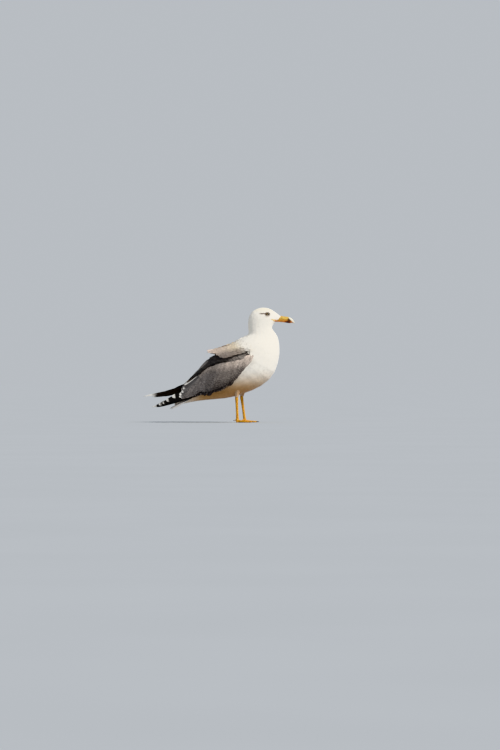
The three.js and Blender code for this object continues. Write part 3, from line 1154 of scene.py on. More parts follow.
@dataclass
class Markings:
    """The bird's colours by place, shared by its skin and its coat, painted shade and painted sunlight among
    them.
    """

    eye: Array = field(init=False)
    collar: Array = field(init=False)
    mantle_rear: float = field(init=False)
    wing_top: float = field(init=False)
    breast: float = field(init=False)
    belly: float = field(init=False)
    vent: float = field(init=False)

    white: Array = toned(250, 244, 234)
    crown: Array = toned(240, 232, 214)
    # buff and stain: partly the belly's own staining, partly painted shade and painted warm reflected light
    # on the underside
    buff: Array = toned(216, 180, 136)
    stain: Array = toned(168, 118, 70)
    # mantle: the grey painted lighter and warmer, partly painted sunlight
    mantle: Array = toned(196, 184, 164)
    # streak: the real streak behind the eye, also used as painted shade round the eye
    streak: Array = toned(84, 58, 40)
    # shade: painted shade in the arc below the eye, also given to the meeting tertials' tips
    shade: Array = toned(206, 196, 186)

    def __post_init__(self) -> None:
        """Reads the places that the colours are measured from."""
        low, high = box_of("eye_left", "eye_right")
        self.eye = (low + high) / 2
        self.collar = spot("scapulars_left", 0.854, 1.05)
        self.mantle_rear = box_of("scapulars_left")[0][0]
        self.wing_top = box_of("wing_left")[1][2]
        low, high = box_of("trunk")
        self.breast = low[2] + 0.5 * (high[2] - low[2])
        self.belly = low[2] + 0.12 * (high[2] - low[2])
        self.vent = low[0]

    def behind_collar(self, points: Array) -> Array:
        """How far behind the edge of the white neck points lie, from 0 to 1."""
        away = (self.collar - points) @ np.array([0.857, 0.0, 0.51])
        return ramp(-6 * MM, 24 * MM, away)

    def body(self, points: Array, normals: Array) -> Array:
        """Colours at points on the head, neck and body.

        Args:
            points: places in the frame, along any leading axes.
            normals: the outward directions there.

        Returns:
            A colour for each.
        """
        x, z, facing_up = points[..., 0], points[..., 2], normals[..., 2]
        colour = np.broadcast_to(self.white, points.shape)
        from_eye, above_eye = x - self.eye[0], z - self.eye[2]
        colour = mix(colour, self.crown, 0.7 * ramp(2 * MM, 16 * MM, above_eye))
        # faces turned down take more buff and stain: painted shade and painted warm reflected light under
        # the body
        under = ramp(0.25, -0.55, facing_up)
        toward_tail = ramp(self.vent + 10 * MM, self.vent - 60 * MM, x)
        buff_and_shade_share = ramp(self.breast, self.belly, z) * (0.45 + 0.55 * under) * (1 - 0.7 * toward_tail)
        colour = mix(colour, self.buff, buff_and_shade_share)
        low = ramp(self.belly + 34 * MM, self.belly - 4 * MM, z) * (0.25 + 0.75 * under)
        low = low * ramp(self.vent - 45 * MM, self.vent + 25 * MM, x)
        rear = ramp(self.vent + 70 * MM, self.vent, x) * ramp(0.5, -0.3, facing_up) * (1 - toward_tail)
        colour = mix(colour, self.stain, np.maximum(0.6 * low, 0.3 * rear) * ramp(0.15, 0.11, z))
        # the mantle colour on the back's upper faces, partly painted sunlight
        on_back = self.behind_collar(points) * ramp(self.mantle_rear - 8 * MM, self.mantle_rear + 6 * MM, x)
        on_back = on_back * ramp(self.wing_top - 45 * MM, self.wing_top - 25 * MM, z)
        colour = mix(colour, self.mantle, on_back * ramp(-0.2, 0.3, facing_up))
        # the streak behind the eye, partly a real marking and partly painted shade under the brow, and
        # painted shade round the eye and in an arc below it
        behind = ramp(4 * MM, -3 * MM, from_eye) * ramp(-30 * MM, -19 * MM, from_eye)
        line = np.abs(above_eye - 1.6 * MM)
        colour = mix(colour, self.streak, 0.95 * behind * ramp(3.0 * MM, 1.2 * MM, line))
        ring = np.hypot(from_eye * 0.8, above_eye + 0.5 * MM)
        colour = mix(colour, self.streak, 0.75 * ramp(8.2 * MM, 5.6 * MM, ring))
        arc = np.abs(np.hypot(from_eye + 2 * MM, above_eye * 1.15) - 10.5 * MM)
        low = ramp(-3 * MM, -7 * MM, above_eye) * ramp(12 * MM, 2 * MM, from_eye)
        return mix(colour, self.shade, 0.55 * low * ramp(3.2 * MM, 0.6 * MM, arc))


# ---- The bird ----


@dataclass(frozen=True)
class Eye:
    """One eye: the ball, and the lids round its opening."""

    side: Side
    radius: float = 9.0 * MM
    opening: float = 5.5 * MM
    wide: float = 1.12
    raised: float = 0.58
    dropped: float = 0.92
    pupil: float = 3.3 * MM
    iris: float = 5.9 * MM
    cornea: float = 4.4 * MM
    bulge: float = 0.7 * MM
    lid: float = 1.05 * MM

    @property
    def centre(self) -> Array:
        """The eyeball's middle."""
        low, high = box_of(f"eye_{self.side.word}")
        return (low + high) / 2

    @property
    def axes(self) -> tuple[Array, Array, Array]:
        """Works out the opening's own directions.

        Returns:
            Forward along the head, up, and out.
        """
        out = unit(self.side.out + np.array([0.16, 0.0, 0.07]))
        up = unit(UP - out[2] * out)
        return self.side.value * np.cross(out, up), up, out

    def inside(self, points: Array) -> Array:
        """Measures how far points lie from the opening's middle.

        Args:
            points: places in the frame.

        Returns:
            1 on the opening's edge, less inside it, and very far on the head's other side.
        """
        forward, up, out = self.axes
        away = points - self.centre
        a, b = away @ forward / self.wide, away @ up
        b = b / np.where(b > 0, self.raised, self.dropped)
        return np.where(away @ out > 0, np.hypot(a, b) / self.opening, 1e3)

    def build(self, lid_finish: Material) -> None:
        """Makes the ball and the lids.

        Args:
            lid_finish: the material of the bare skin of the lids.
        """
        gaze = unit(self.side.out + np.array([0.27, 0.0, 0.12]))
        finish = Gaze(f"eye_{self.side.word}", self.centre, gaze, self.radius, self.pupil, self.iris)
        bm = bmesh.new()
        bmesh.ops.create_uvsphere(bm, u_segments=64, v_segments=40, radius=self.radius - 0.05 * MM)
        for vertex in bm.verts:
            if vertex.co.z > 0:
                off = math.hypot(vertex.co.x, vertex.co.y)
                vertex.co.z += self.bulge * float(ramp(self.cornea, 0.0, off))
        turn = Vector(gaze).to_track_quat("Z", "Y").to_matrix().to_4x4()
        bmesh.ops.transform(bm, matrix=Matrix.Translation(self.centre) @ turn, verts=bm.verts[:])
        name = f"eyeball_{self.side.word}"
        add_piece(finished(name, bm), finish.material(), "eyeball", f"eye_{self.side.word}")
        self.build_lids(lid_finish)

    def build_lids(self, finish: Material) -> None:
        """Makes the lids: a soft ring spun round the opening, then drawn low over the top of the eye.

        Args:
            finish: their material.
        """
        bm = bmesh.new()
        flat = self.opening
        rest = math.sqrt(self.radius**2 - flat**2)
        start = Matrix.Translation((flat, 0, rest)) @ Matrix.Rotation(math.pi / 2, 4, "X")
        bmesh.ops.create_circle(bm, segments=14, radius=self.lid, matrix=start)
        ring = bm.verts[:] + bm.edges[:]
        bmesh.ops.spin(
            bm, geom=ring, axis=(0, 0, 1), cent=(0, 0, 0), angle=2 * math.pi, steps=72, use_merge=True
        )
        forward, up, out = self.axes
        for vertex in bm.verts:
            x, y, z = vertex.co
            off = math.hypot(x, y)
            a, b = x / off * self.wide, y / off * (self.raised if y > 0 else self.dropped)
            heavy = 1.0 + 0.5 * max(b, 0.0)
            reach = flat + (off - flat) * heavy
            settled = math.sqrt(self.radius**2 - (flat * math.hypot(a, b)) ** 2)
            height = z - rest + settled - 0.3 * MM + 0.35 * MM * max(b, 0.0)
            vertex.co = Vector(self.centre + forward * a * reach + up * b * reach + out * height)
        bmesh.ops.recalc_face_normals(bm, faces=bm.faces[:])
        name = f"eyelid_{self.side.word}"
        add_piece(finished(name, bm), finish, "plumage_body")


@dataclass
class Body:
    """Head, neck, trunk and rump: one skin, and the coat of small feathers over it."""

    marks: Markings
    hide: Material
    plumage: Material
    flesh: Material
    seed: int = 7
    rings: int = 200
    columns: int = 132
    pitch_apart: float = 0.86  # how close two feathers' roots may come, in pitches
    clear_of_eye: float = 1.22
    stations: tuple[Station, ...] = (
        Station("head", 0.952, 0.585, 70),
        Station("head", 0.86, 0.60, 84),
        Station("head", 0.74, 0.61, 101),
        Station("head", 0.60, 0.575, 120),
        Station("head", 0.49, 0.45, 140),
        Station("head", 0.42, 0.26, 151),
        Station("neck", 0.51, 0.44, 161),
        Station("trunk", 0.80, 0.84, 157),
        Station("trunk", 0.70, 0.70, 150),
        Station("trunk", 0.56, 0.51, 143),
        Station("trunk", 0.37, 0.34, 137),
        Station("trunk", 0.15, 0.19, 132),
        Station("rump", 0.39, 0.35, 127),
        Station("rump", 0.12, 0.17, 118),
        Station("rump", 0.05, 0.14, 116),
    )
    # the bare wedge at the corner of the mouth, in mm: forward of the eye, and below it at top and bottom
    gape: tuple[tuple[float, float, float], ...] = (
        (8.5, 14.6, 14.8), (14, 14.9, 18.5), (20, 15.6, 22), (24, 16.2, 23.4), (28.5, 16.7, 23.0),
    )
    surface: Surface = field(init=False)
    skin: Surface = field(init=False)
    depth: Array = field(init=False)

    def __post_init__(self) -> None:
        """Draws the outer surface, and the skin inside it by the coat's depth."""
        nodes = ("head", "neck", "trunk", "rump", "eye_left", "eye_right", "bill_upper", "bill_lower")
        wrap = Wrap(nodes, self.stations, self.rings, self.columns, close_until=5.0, closeness=1.7)
        outer = wrap.build().smoothed(10)
        self.surface = outer.moved(self.brow(outer.points))
        self.depth = self.coat_depth(self.surface.points)
        self.skin = self.surface.moved(-self.depth)

    def brow(self, points: Array) -> Array:
        """How far the ridge over each eye stands out.

        Args:
            points: places on the head.

        Returns:
            A height for each.
        """
        away = points - self.marks.eye
        forward, up = (away[..., 0] - 3 * MM) / (9 * MM), (away[..., 2] - 7.4 * MM) / (3.2 * MM)
        return 1.5 * MM * np.exp(-(forward**2) - up**2)

    def from_bill(self, points: Array) -> Array:
        """The distance of points from the middle of the bill's base."""
        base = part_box("bill_upper")[0][0]
        return np.linalg.norm(points - np.array([base, 0, self.marks.eye[2] - 14 * MM]), axis=-1)

    def coat_depth(self, points: Array) -> Array:
        """How thick the coat is: thinnest at the bill, thickest on the belly.

        Args:
            points: places on the bird.

        Returns:
            A depth for each.
        """
        away = self.from_bill(points)
        depth = 0.45 * MM + 1.0 * MM * ramp(4 * MM, 35 * MM, away)
        return depth + 1.5 * MM * ramp(50 * MM, 100 * MM, away) + 1.0 * MM * ramp(100 * MM, 170 * MM, away)

    def build(self) -> None:
        """Makes the skin, the corners of the mouth and every tract of the coat."""
        self.build_skin()
        for side in Side:
            self.build_gape(side)
            self.build_bristles(side)
        plumes = self.scatter()
        tracts = {
            "coat_face": (-1.0, 0.16),
            "coat_crown": (0.16, 0.28),
            "coat_neck": (0.28, 0.46),
            "coat_breast": (0.46, 0.6),
            "coat_belly": (0.6, 0.78),
            "coat_rump": (0.78, 1.01),
        }
        for name, (low, high) in tracts.items():
            part = plumes.only((plumes.u >= low * (self.rings - 1)) & (plumes.u < high * (self.rings - 1)))
            layer = Layer(self.skin, CONTOUR, part, 0.93, self.marks.body)
            add_piece(layer.mesh(name), self.plumage, "plumage_body")

    def build_skin(self) -> None:
        """Makes the skin as one closed mesh, hollowed at the eyes."""
        rows, columns = self.rings, self.columns
        bm = bmesh.new()
        bmesh.ops.create_grid(bm, x_segments=rows - 1, y_segments=columns, size=0.5)
        bm.verts.ensure_lookup_table()
        at = np.array([v.co for v in bm.verts])
        row = np.rint((at[:, 0] + 0.5) * (rows - 1)).astype(int)
        column = np.rint((at[:, 1] + 0.5) * columns).astype(int) % columns
        places = self.hollowed(self.skin.points)[row, column]
        for vertex, place in zip(bm.verts, places):
            vertex.co = place
        bmesh.ops.remove_doubles(bm, verts=bm.verts[:], dist=1e-7)
        ends = [edge for edge in bm.edges if edge.is_boundary]
        bmesh.ops.holes_fill(bm, edges=ends, sides=0)
        caps = [face for face in bm.faces if len(face.verts) > 4]
        bmesh.ops.poke(bm, faces=caps)
        bmesh.ops.recalc_face_normals(bm, faces=bm.faces[:])
        bm.normal_update()
        colours = self.marks.body(np.array([v.co for v in bm.verts]), np.array([v.normal for v in bm.verts]))
        mesh = finished("skin", bm)
        paint(mesh, colours)
        add_piece(mesh, self.hide, "plumage_body", "head", "neck", "trunk", "rump")

    def hollowed(self, points: Array) -> Array:
        """Pushes skin points under the eyeballs where the eyes look out.

        Args:
            points: the skin's points.

        Returns:
            The points moved.
        """
        moved = points.copy()
        for side in Side:
            eye = Eye(side)
            sunk = eye.centre + unit(points - eye.centre) * (eye.radius - 1.6 * MM)
            moved = mix(moved, sunk, ramp(1.04, 0.84, eye.inside(points)))
        return moved

    def build_gape(self, side: Side) -> None:
        """Makes the strip of bare skin at one corner of the mouth, laid on the surface.

        Args:
            side: the side it is on.
        """
        solid = Solid(as_mesh(self.surface))
        bm = bmesh.new()
        bmesh.ops.create_grid(bm, x_segments=44, y_segments=18, size=0.5)
        edge = np.array(self.gape) * MM
        colours = []
        for vertex in bm.verts:
            f, g = vertex.co.x + 0.5, vertex.co.y + 0.5
            at = f * (len(edge) - 1)
            forward, top, bottom = (np.interp(at, range(len(edge)), column) for column in edge.T)
            below = bottom + (top - bottom) * g
            start = Vector((self.marks.eye[0] + forward, side.value * 0.08, self.marks.eye[2] - below))
            hit, normal, _, _ = solid.tree.ray_cast(start, Vector(-side.out))
            if hit is None:
                hit, normal = Vector((start.x, side.value * 6 * MM, start.z)), Vector(side.out)
            shut = float(ramp(0.82, 0.97, g))
            rim = float(ramp(0.0, 0.25, g) * ramp(0.0, 0.12, f) * ramp(1.0, 0.88, f))
            normal = normal if normal.y * side.value > 0 else -normal
            vertex.co = hit + normal * (-0.5 * MM + 0.6 * MM * rim - 0.5 * MM * shut)
            colour = mix(tone(244, 214, 158), tone(228, 140, 70), ramp(0.35, 0.95, f))
            colour = mix(colour, tone(206, 84, 38), 0.7 * ramp(0.6, 0.95, f) * ramp(0.75, 0.2, g))
            # darker where the mouth shuts: painted shade in the crease
            colours.append(mix(colour, tone(60, 34, 20), np.float64(shut)))
        bmesh.ops.solidify(bm, geom=bm.faces[:], thickness=0.8 * MM)
        bmesh.ops.recalc_face_normals(bm, faces=bm.faces[:])
        mesh = finished(f"gape_{side.word}", bm)
        back = np.resize(colours, (len(mesh.vertices) - len(colours), 3))
        paint(mesh, np.concatenate([colours, back]))
        add_piece(mesh, self.flesh, "bill_horn")

    def build_bristles(self, side: Side) -> None:
        """Makes the tiny feathers that point forward over the bill's base.

        Args:
            side: the side they are on.
        """
        rng = np.random.default_rng(self.seed + 5)
        face = Relief(("bill_upper", "head"), FORWARD, -UP, side.out, step=1 * MM, rounds=4).build()
        back, down = staggered(4, 26, rng)
        line = np.stack([0.135 - 0.125 * down, 0.02 + 0.4 * down], -1)
        roots = line + np.array([1.0, 0]) * ((-0.4 - 2.2 * back) * MM / face.span[0])[:, None]
        length = (2.3 + 1.0 * rng.random(len(down))) * MM
        way = unit(np.array([1.0, 0.25]) + rng.normal(0, 0.1, (len(down), 2)))
        tint = tints(len(down), 0.95, 0.06, rng)
        plumes = laid_out(
            face, roots, roots + way * length[:, None] / face.span, 1.5 * MM, tint, depth=0.15 * MM,
            lift=0.08 * MM, thick=0.05 * MM, bend=rng.normal(0, 0.08, len(down)), under=tint,
        )
        layer = Layer(face.surface, CONTOUR, plumes, 0.7, self.marks.body)
        add_piece(layer.mesh(f"bristles_{side.word}"), self.plumage, "plumage_body")

    def in_gape(self, points: Array) -> Array:
        """Picks out what lies inside the bare wedges.

        Args:
            points: one row for each.

        Returns:
            A mask of them.
        """
        edge = np.array(self.gape) * MM
        forward, below = points[:, 0] - self.marks.eye[0], self.marks.eye[2] - points[:, 2]
        top, bottom = (np.interp(forward, edge[:, 0], edge[:, i]) for i in (1, 2))
        inside = (forward > edge[0, 0]) & (forward < edge[-1, 0] + 8 * MM)
        return inside & (below > top + 0.2 * MM) & (below < bottom - 1.0 * MM)

    def pitch(self, points: Array) -> Array:
        """The distance between neighbouring feathers: smallest on the face.

        Args:
            points: places on the bird.

        Returns:
            A distance for each.
        """
        away = self.from_bill(points)
        pitch = 1.3 * MM + 0.8 * MM * ramp(8 * MM, 55 * MM, away)
        return pitch + 0.95 * MM * ramp(60 * MM, 110 * MM, away) + 0.75 * MM * ramp(110 * MM, 180 * MM, away)

    def scatter(self) -> Plumes:
        """Spreads the feathers evenly over the skin, clear of eyes, mouth, wings and scapulars.

        Returns:
            The feathers.
        """
        rng = np.random.default_rng(self.seed)
        surface = self.surface
        rows, columns = self.rings, self.columns
        area = np.linalg.norm(np.cross(surface.along, surface.across), axis=-1)
        wanted = area / self.pitch(surface.points) ** 2
        wanted[-1] = 0
        tries = int(2.6 * wanted.sum())
        cell = rng.choice(rows * columns, tries, p=(wanted / wanted.sum()).ravel())
        u = np.minimum(cell // columns + rng.random(tries), rows - 1.0)
        v = cell % columns + rng.random(tries)
        rim = 4 * columns
        u = np.concatenate([np.zeros(rim), u])
        v = np.concatenate([columns * np.arange(rim) / rim, v])
        points, normals = surface.place(u, v)
        apart = np.where(np.arange(len(u)) < rim, 0.4, self.pitch_apart) * self.pitch(points)
        keep = self.spaced(points, apart)
        keep &= self.bare_of(points, normals, keep)
        return self.dressed(u[keep], v[keep], points[keep], rng)

    @staticmethod
    def spaced(points: Array, apart: Array) -> Array:
        """Picks points that keep their distance from those picked before them.

        Args:
            points: one row for each.
            apart: the distance that each keeps.

        Returns:
            A mask of them.
        """
        cell = float(apart.max())
        kept: dict[tuple[int, int, int], list[tuple[float, float, float]]] = {}
        mask = np.zeros(len(points), bool)
        keys = np.floor(points / cell).astype(int)
        around = list(product((-1, 0, 1), repeat=3))
        for n, (place, key, least) in enumerate(zip(points.tolist(), keys.tolist(), (apart**2).tolist())):
            x, y, z = place
            groups = (kept.get((key[0] + i, key[1] + j, key[2] + k), ()) for i, j, k in around)
            near = (other for group in groups for other in group)
            if all((a - x) ** 2 + (b - y) ** 2 + (c - z) ** 2 >= least for a, b, c in near):
                mask[n] = True
                kept.setdefault(tuple(key), []).append((x, y, z))
        return mask

    def bare_of(self, points: Array, normals: Array, wanted: Array) -> Array:
        """Picks points that neither an eye's opening, the mouth's corner nor a wing covers.

        Args:
            points: one row for each.
            normals: the outward directions there.
            wanted: a mask of the points that matter.

        Returns:
            A mask of them.
        """
        parts = product(("wing", "scapulars"), Side)
        solid = Solid.of_nodes(*(f"{part}_{side.word}" for part, side in parts))
        mask = ~self.in_gape(points)
        for side in Side:
            mask &= Eye(side).inside(points) > self.clear_of_eye
        for n in np.flatnonzero(mask & wanted):
            start, aim = Vector(points[n]), Vector(normals[n])
            mask[n] = not solid.covers(start - aim * 4 * MM, aim, 16 * MM)
        return mask

    def dressed(self, u: Array, v: Array, points: Array, rng: Chance) -> Plumes:
        """Sizes, turns and tints feathers.

        Args:
            u: the roots' rows.
            v: the roots' columns.
            points: the roots' places.
            rng: where the chance in their sizes comes from.

        Returns:
            The feathers.
        """
        count = len(u)
        pitch = self.pitch(points)
        depth = self.surface.sample(self.depth[..., None], u, v, False)[:, 0]
        tail = ramp(self.marks.vent - 10 * MM, self.marks.vent - 60 * MM, points[:, 0])
        tint = tints(count, 0.965, 0.05, rng)
        return Plumes.rooted(
            u, v, tint,
            length=pitch * (4.2 + 0.5 * rng.random(count)) * (1 + 0.8 * tail),
            width=pitch * (2.45 + 0.3 * rng.random(count)) * (1 + 0.25 * tail),
            turn=rng.normal(0.0, 0.12, count),
            depth=depth + pitch * 0.015 * rng.normal(0.0, 1.0, count),
            lift=pitch * (0.03 + 0.04 * rng.random(count)),
            tip_colour=np.clip(tint * 1.03, 0, 1),
            tip_from=0.8,
            edge=0.3,
            thick=pitch * 0.045,
            bend=rng.normal(0.0, 0.05, count),
            under=tint,
        )


def tints(count: int, least: float, spread: float, rng: Chance) -> Array:
    """Slightly different whites, which tint the marking beneath them.

    Args:
        count: how many.
        least: the darkest.
        spread: how much lighter the lightest is.
        rng: where the chance comes from.

    Returns:
        One colour in each row.
    """
    return np.ones((count, 3)) * (least + spread * rng.random((count, 1)))


def as_mesh(surface: Surface) -> Mesh:
    """Makes a closed surface a mesh that rays can be cast at.

    Args:
        surface: the surface.

    Returns:
        The mesh.
    """
    rows, columns = surface.shape
    row, column = np.meshgrid(np.arange(rows - 1) * columns, np.arange(columns), indexing="ij")
    beside = (column + 1) % columns
    corners = np.stack([row + column, row + columns + column, row + columns + beside, row + beside], -1)
    mesh = bpy.data.meshes.new("cast")
    fill_mesh(mesh, surface.points.reshape(-1, 3), corners.reshape(-1), 4)
    return mesh


def finished(name: str, bm: bmesh.types.BMesh) -> Mesh:
    """Turns a bmesh, which is freed, into a smooth-shaded mesh.

    Args:
        name: the mesh's name.
        bm: the shape.

    Returns:
        The mesh.
    """
    mesh = bpy.data.meshes.new(name)
    bm.to_mesh(mesh)
    bm.free()
    mesh.shade_smooth()
    return mesh


@dataclass(frozen=True)
class Bill:
    """The two halves of the bill, with their nostrils and their colours."""

    finish: Material
    voxel: float = 0.32 * MM

    def build(self) -> None:
        """Makes both halves."""
        low, high = box_of("bill_upper", "bill_lower")
        for half in ("bill_upper", "bill_lower"):
            mesh = remeshed(half + "_horn", (half,), self.voxel, 0.1 * MM, 8)
            if half == "bill_upper":
                self.open_nostrils(mesh, low, high)
            paint(mesh, self.colours((places_of(mesh) - low) / (high - low)))
            add_piece(mesh, self.finish, "bill_horn", half)
        self.build_lining()

    def build_lining(self) -> None:
        """Makes the inside of the mouth, painted dark as shade, which shows as the line where the halves
        meet.
        """
        mesh = remeshed("mouth_lining", ("bill_upper", "bill_lower"), 0.45 * MM, 0.25 * MM, 4)
        shrink(mesh, 0.4 * MM)
        # painted shade in the slit between the halves
        paint(mesh, np.tile(tone(44, 26, 18), (len(mesh.vertices), 1)))
        add_piece(mesh, self.finish, "bill_horn")

    def colours(self, share: Array) -> Array:
        """Yellow horn, redder below, with a dark mark near the end and a pale hook.

        Args:
            share: places as shares of the bill's box.

        Returns:
            A colour for each.
        """
        f, h = share[:, 0], share[:, 2]
        colour = mix(tone(224, 140, 52), tone(216, 178, 84), ramp(0.25, 0.75, h + 0.1 * f))
        colour = mix(colour, tone(188, 138, 58), 0.7 * ramp(0.75, 0.95, h) * ramp(0.6, 0.2, f))
        colour = mix(colour, tone(236, 196, 128), 0.6 * ramp(0.16, 0.02, f))
        mark = np.hypot((f - 0.62) / 0.2, (h - 0.1) / 0.3)
        colour = mix(colour, tone(150, 46, 18), 0.9 * ramp(1.15, 0.6, mark))
        core = np.hypot((f - 0.61) / 0.1, (h - 0.12) / 0.2)
        colour = mix(colour, tone(44, 16, 8), 0.9 * ramp(1.1, 0.5, core))
        band = np.hypot((f - 0.71) / 0.12, (h - 0.42) / 0.36)
        colour = mix(colour, tone(66, 30, 14), 0.85 * ramp(1.1, 0.5, band))
        # the pale line along the hook, from the ridge down to the point: partly the real pale tip, partly a
        # painted highlight
        way = np.array([0.3, -0.72])
        gone = np.clip(((f - 0.68) * way[0] + (h - 0.86) * way[1]) / (way @ way), 0, 1)
        off = np.hypot(f - 0.68 - gone * way[0], (h - 0.86 - gone * way[1]) * 0.6)
        pale = ramp(0.085, 0.03, off) * ramp(0.62, 0.74, f)
        return mix(colour, tone(222, 224, 212), 0.92 * pale)

    def open_nostrils(self, mesh: Mesh, low: Array, high: Array) -> None:
        """Presses a slit into each side of the upper half.

        Args:
            mesh: the upper half.
            low: the whole bill's lowest corner.
            high: its highest corner.
        """
        middle = np.array([low[0] + 0.3 * (high[0] - low[0]), 0.0, high[2] - 7.5 * MM])
        places = places_of(mesh)
        away = places - middle
        along, tall = away[:, 0] / (3.6 * MM), (away[:, 2] + 0.08 * away[:, 0]) / (0.95 * MM)
        depth = 1.3 * MM * ramp(1.0, 0.25, np.hypot(along, tall))
        places[:, 1] -= np.sign(places[:, 1]) * np.minimum(depth, np.abs(places[:, 1]))
        move_points(mesh, places)


@dataclass
class Leg:
    """One leg: bare scaly skin, the short feathers at its top, and its claws."""

    side: Side
    marks: Markings
    skin: Material
    claw: Material
    plumage: Material
    rings: int = 40
    columns: int = 48
    feathers: int = 900
    thigh_wide: tuple[float, float, float] = (7.5 * MM, 4.5 * MM, 0.0)  # how far the thigh swells
    thigh_high: float = 32 * MM  # how far the thigh runs up into the body

    def build(self) -> None:
        """Makes the leg's pieces."""
        word = self.side.word
        nodes = (f"shank_{word}", f"tarsus_{word}", f"foot_{word}")
        mesh = remeshed(f"leg_{word}", nodes, 0.62 * MM, 0.25 * MM, 5)
        floor_flat(mesh)
        add_piece(mesh, self.skin, "leg_skin", *nodes)
        self.build_claws()
        self.build_feathers()

    def build_claws(self) -> None:
        """Makes the four claws, rounded from the frame's."""
        for toe in ("inner", "middle", "outer", "hind"):
            node = f"claw_{self.side.word}_{toe}"
            mesh = remeshed(node + "_horn", (node,), 0.22 * MM, 0.08 * MM, 3)
            floor_flat(mesh)
            add_piece(mesh, self.claw, "claw_horn", node)

    def thigh(self) -> Surface:
        """Casts rings round the shank, and draws the upper ones out and up into the body.

        Returns:
            The surface that the feathers lie on.
        """
        node = f"shank_{self.side.word}"
        path = np.array([spot(node, 0.5, share) for share in (0.58, 0.35, 0.12)])
        path = spline(path, np.linspace(0, 2, self.rings))
        solid = Solid.of_nodes(node, f"tarsus_{self.side.word}")
        points = np.zeros((self.rings, self.columns, 3))
        for _ in range(3):
            for row, column in np.ndindex(self.rings, self.columns):
                angle = 2 * math.pi * column / self.columns
                aim = Vector((math.cos(angle), math.sin(angle), 0))
                points[row, column] = solid.way_out(Vector(path[row]), aim)
            path = points.mean(axis=1)
        outward = points - path[:, None, :]
        high = np.linspace(1, 0, self.rings)[:, None, None] ** 2
        reach = np.array(self.thigh_wide) * unit(outward) + self.thigh_high * unit(path[0] - path[-1])
        return Surface(points + reach * high, True, outward).smoothed(4)

    def build_feathers(self) -> None:
        """Clothes the shank."""
        rng = np.random.default_rng(31 + self.side.value)
        count = self.feathers
        tint = tints(count, 0.94, 0.06, rng)
        plumes = Plumes.rooted(
            rng.random(count) * (self.rings - 11),
            rng.random(count) * self.columns,
            tint,
            length=6.5 * MM * (0.8 + 0.4 * rng.random(count)),
            width=3.2 * MM * (0.8 + 0.4 * rng.random(count)),
            turn=rng.normal(0, 0.15, count),
            depth=0.9 * MM,
            lift=0.35 * MM * rng.random(count),
            tip_from=0.9,
            thick=0.1 * MM,
            bend=rng.normal(0, 0.05, count),
            under=tint,
        )
        layer = Layer(self.thigh(), CONTOUR, plumes, 0.7, self.marks.body)
        add_piece(layer.mesh(f"coat_shank_{self.side.word}"), self.plumage, "plumage_body")


def floor_flat(mesh: Mesh) -> None:
    """Lays what the floor bears flat on it.

    Args:
        mesh: a foot or a claw.
    """
    places = places_of(mesh)
    places[:, 2] = np.where(places[:, 2] < 0.35 * MM, 0.0, places[:, 2])
    move_points(mesh, places)


def laid_out(
    face: Face, roots: Array, tips: Array, width: Array | float, colour: Array, **given: Array | float
) -> Plumes:
    """Lays feathers from root to tip, both given as shares of a face's length and breadth.

    Args:
        face: the face they lie on.
        roots: two shares for each root.
        tips: two shares for each tip.
        width: the full widths, in metres.
        colour: a colour for each.
        given: whatever else isn't usual; one number stands for all feathers.

    Returns:
        The feathers.
    """
    surface = face.surface
    u, v = face.find(roots)
    start, end = surface.place(u, v)[0], surface.place(*face.find(tips))[0]
    e_u = unit(surface.sample(surface.along, u, v, False))
    e_v = surface.sample(surface.across, u, v, False)
    e_v = unit(e_v - np.sum(e_v * e_u, -1)[:, None] * e_u)
    way = end - start
    turn = np.arctan2(np.sum(way * e_v, -1), np.sum(way * e_u, -1))
    return Plumes.rooted(u, v, colour, length=np.linalg.norm(way, axis=-1), width=width, turn=turn, **given)


def staggered(rows: int, columns: int, rng: Chance) -> tuple[Array, Array]:
    """Spreads places in rows, every other row shifted, each a little out of line.

    Args:
        rows: how many rows.
        columns: how many places in each.
        rng: where the chance comes from.

    Returns:
        Shares down and along.
    """
    row, column = np.meshgrid(np.arange(rows), np.arange(columns), indexing="ij")
    down = (row + 0.5 + rng.uniform(-0.25, 0.25, row.shape)) / rows
    along = (column + 0.25 + 0.5 * (row % 2) + rng.uniform(-0.22, 0.22, row.shape)) / columns
    return down.ravel(), along.ravel()


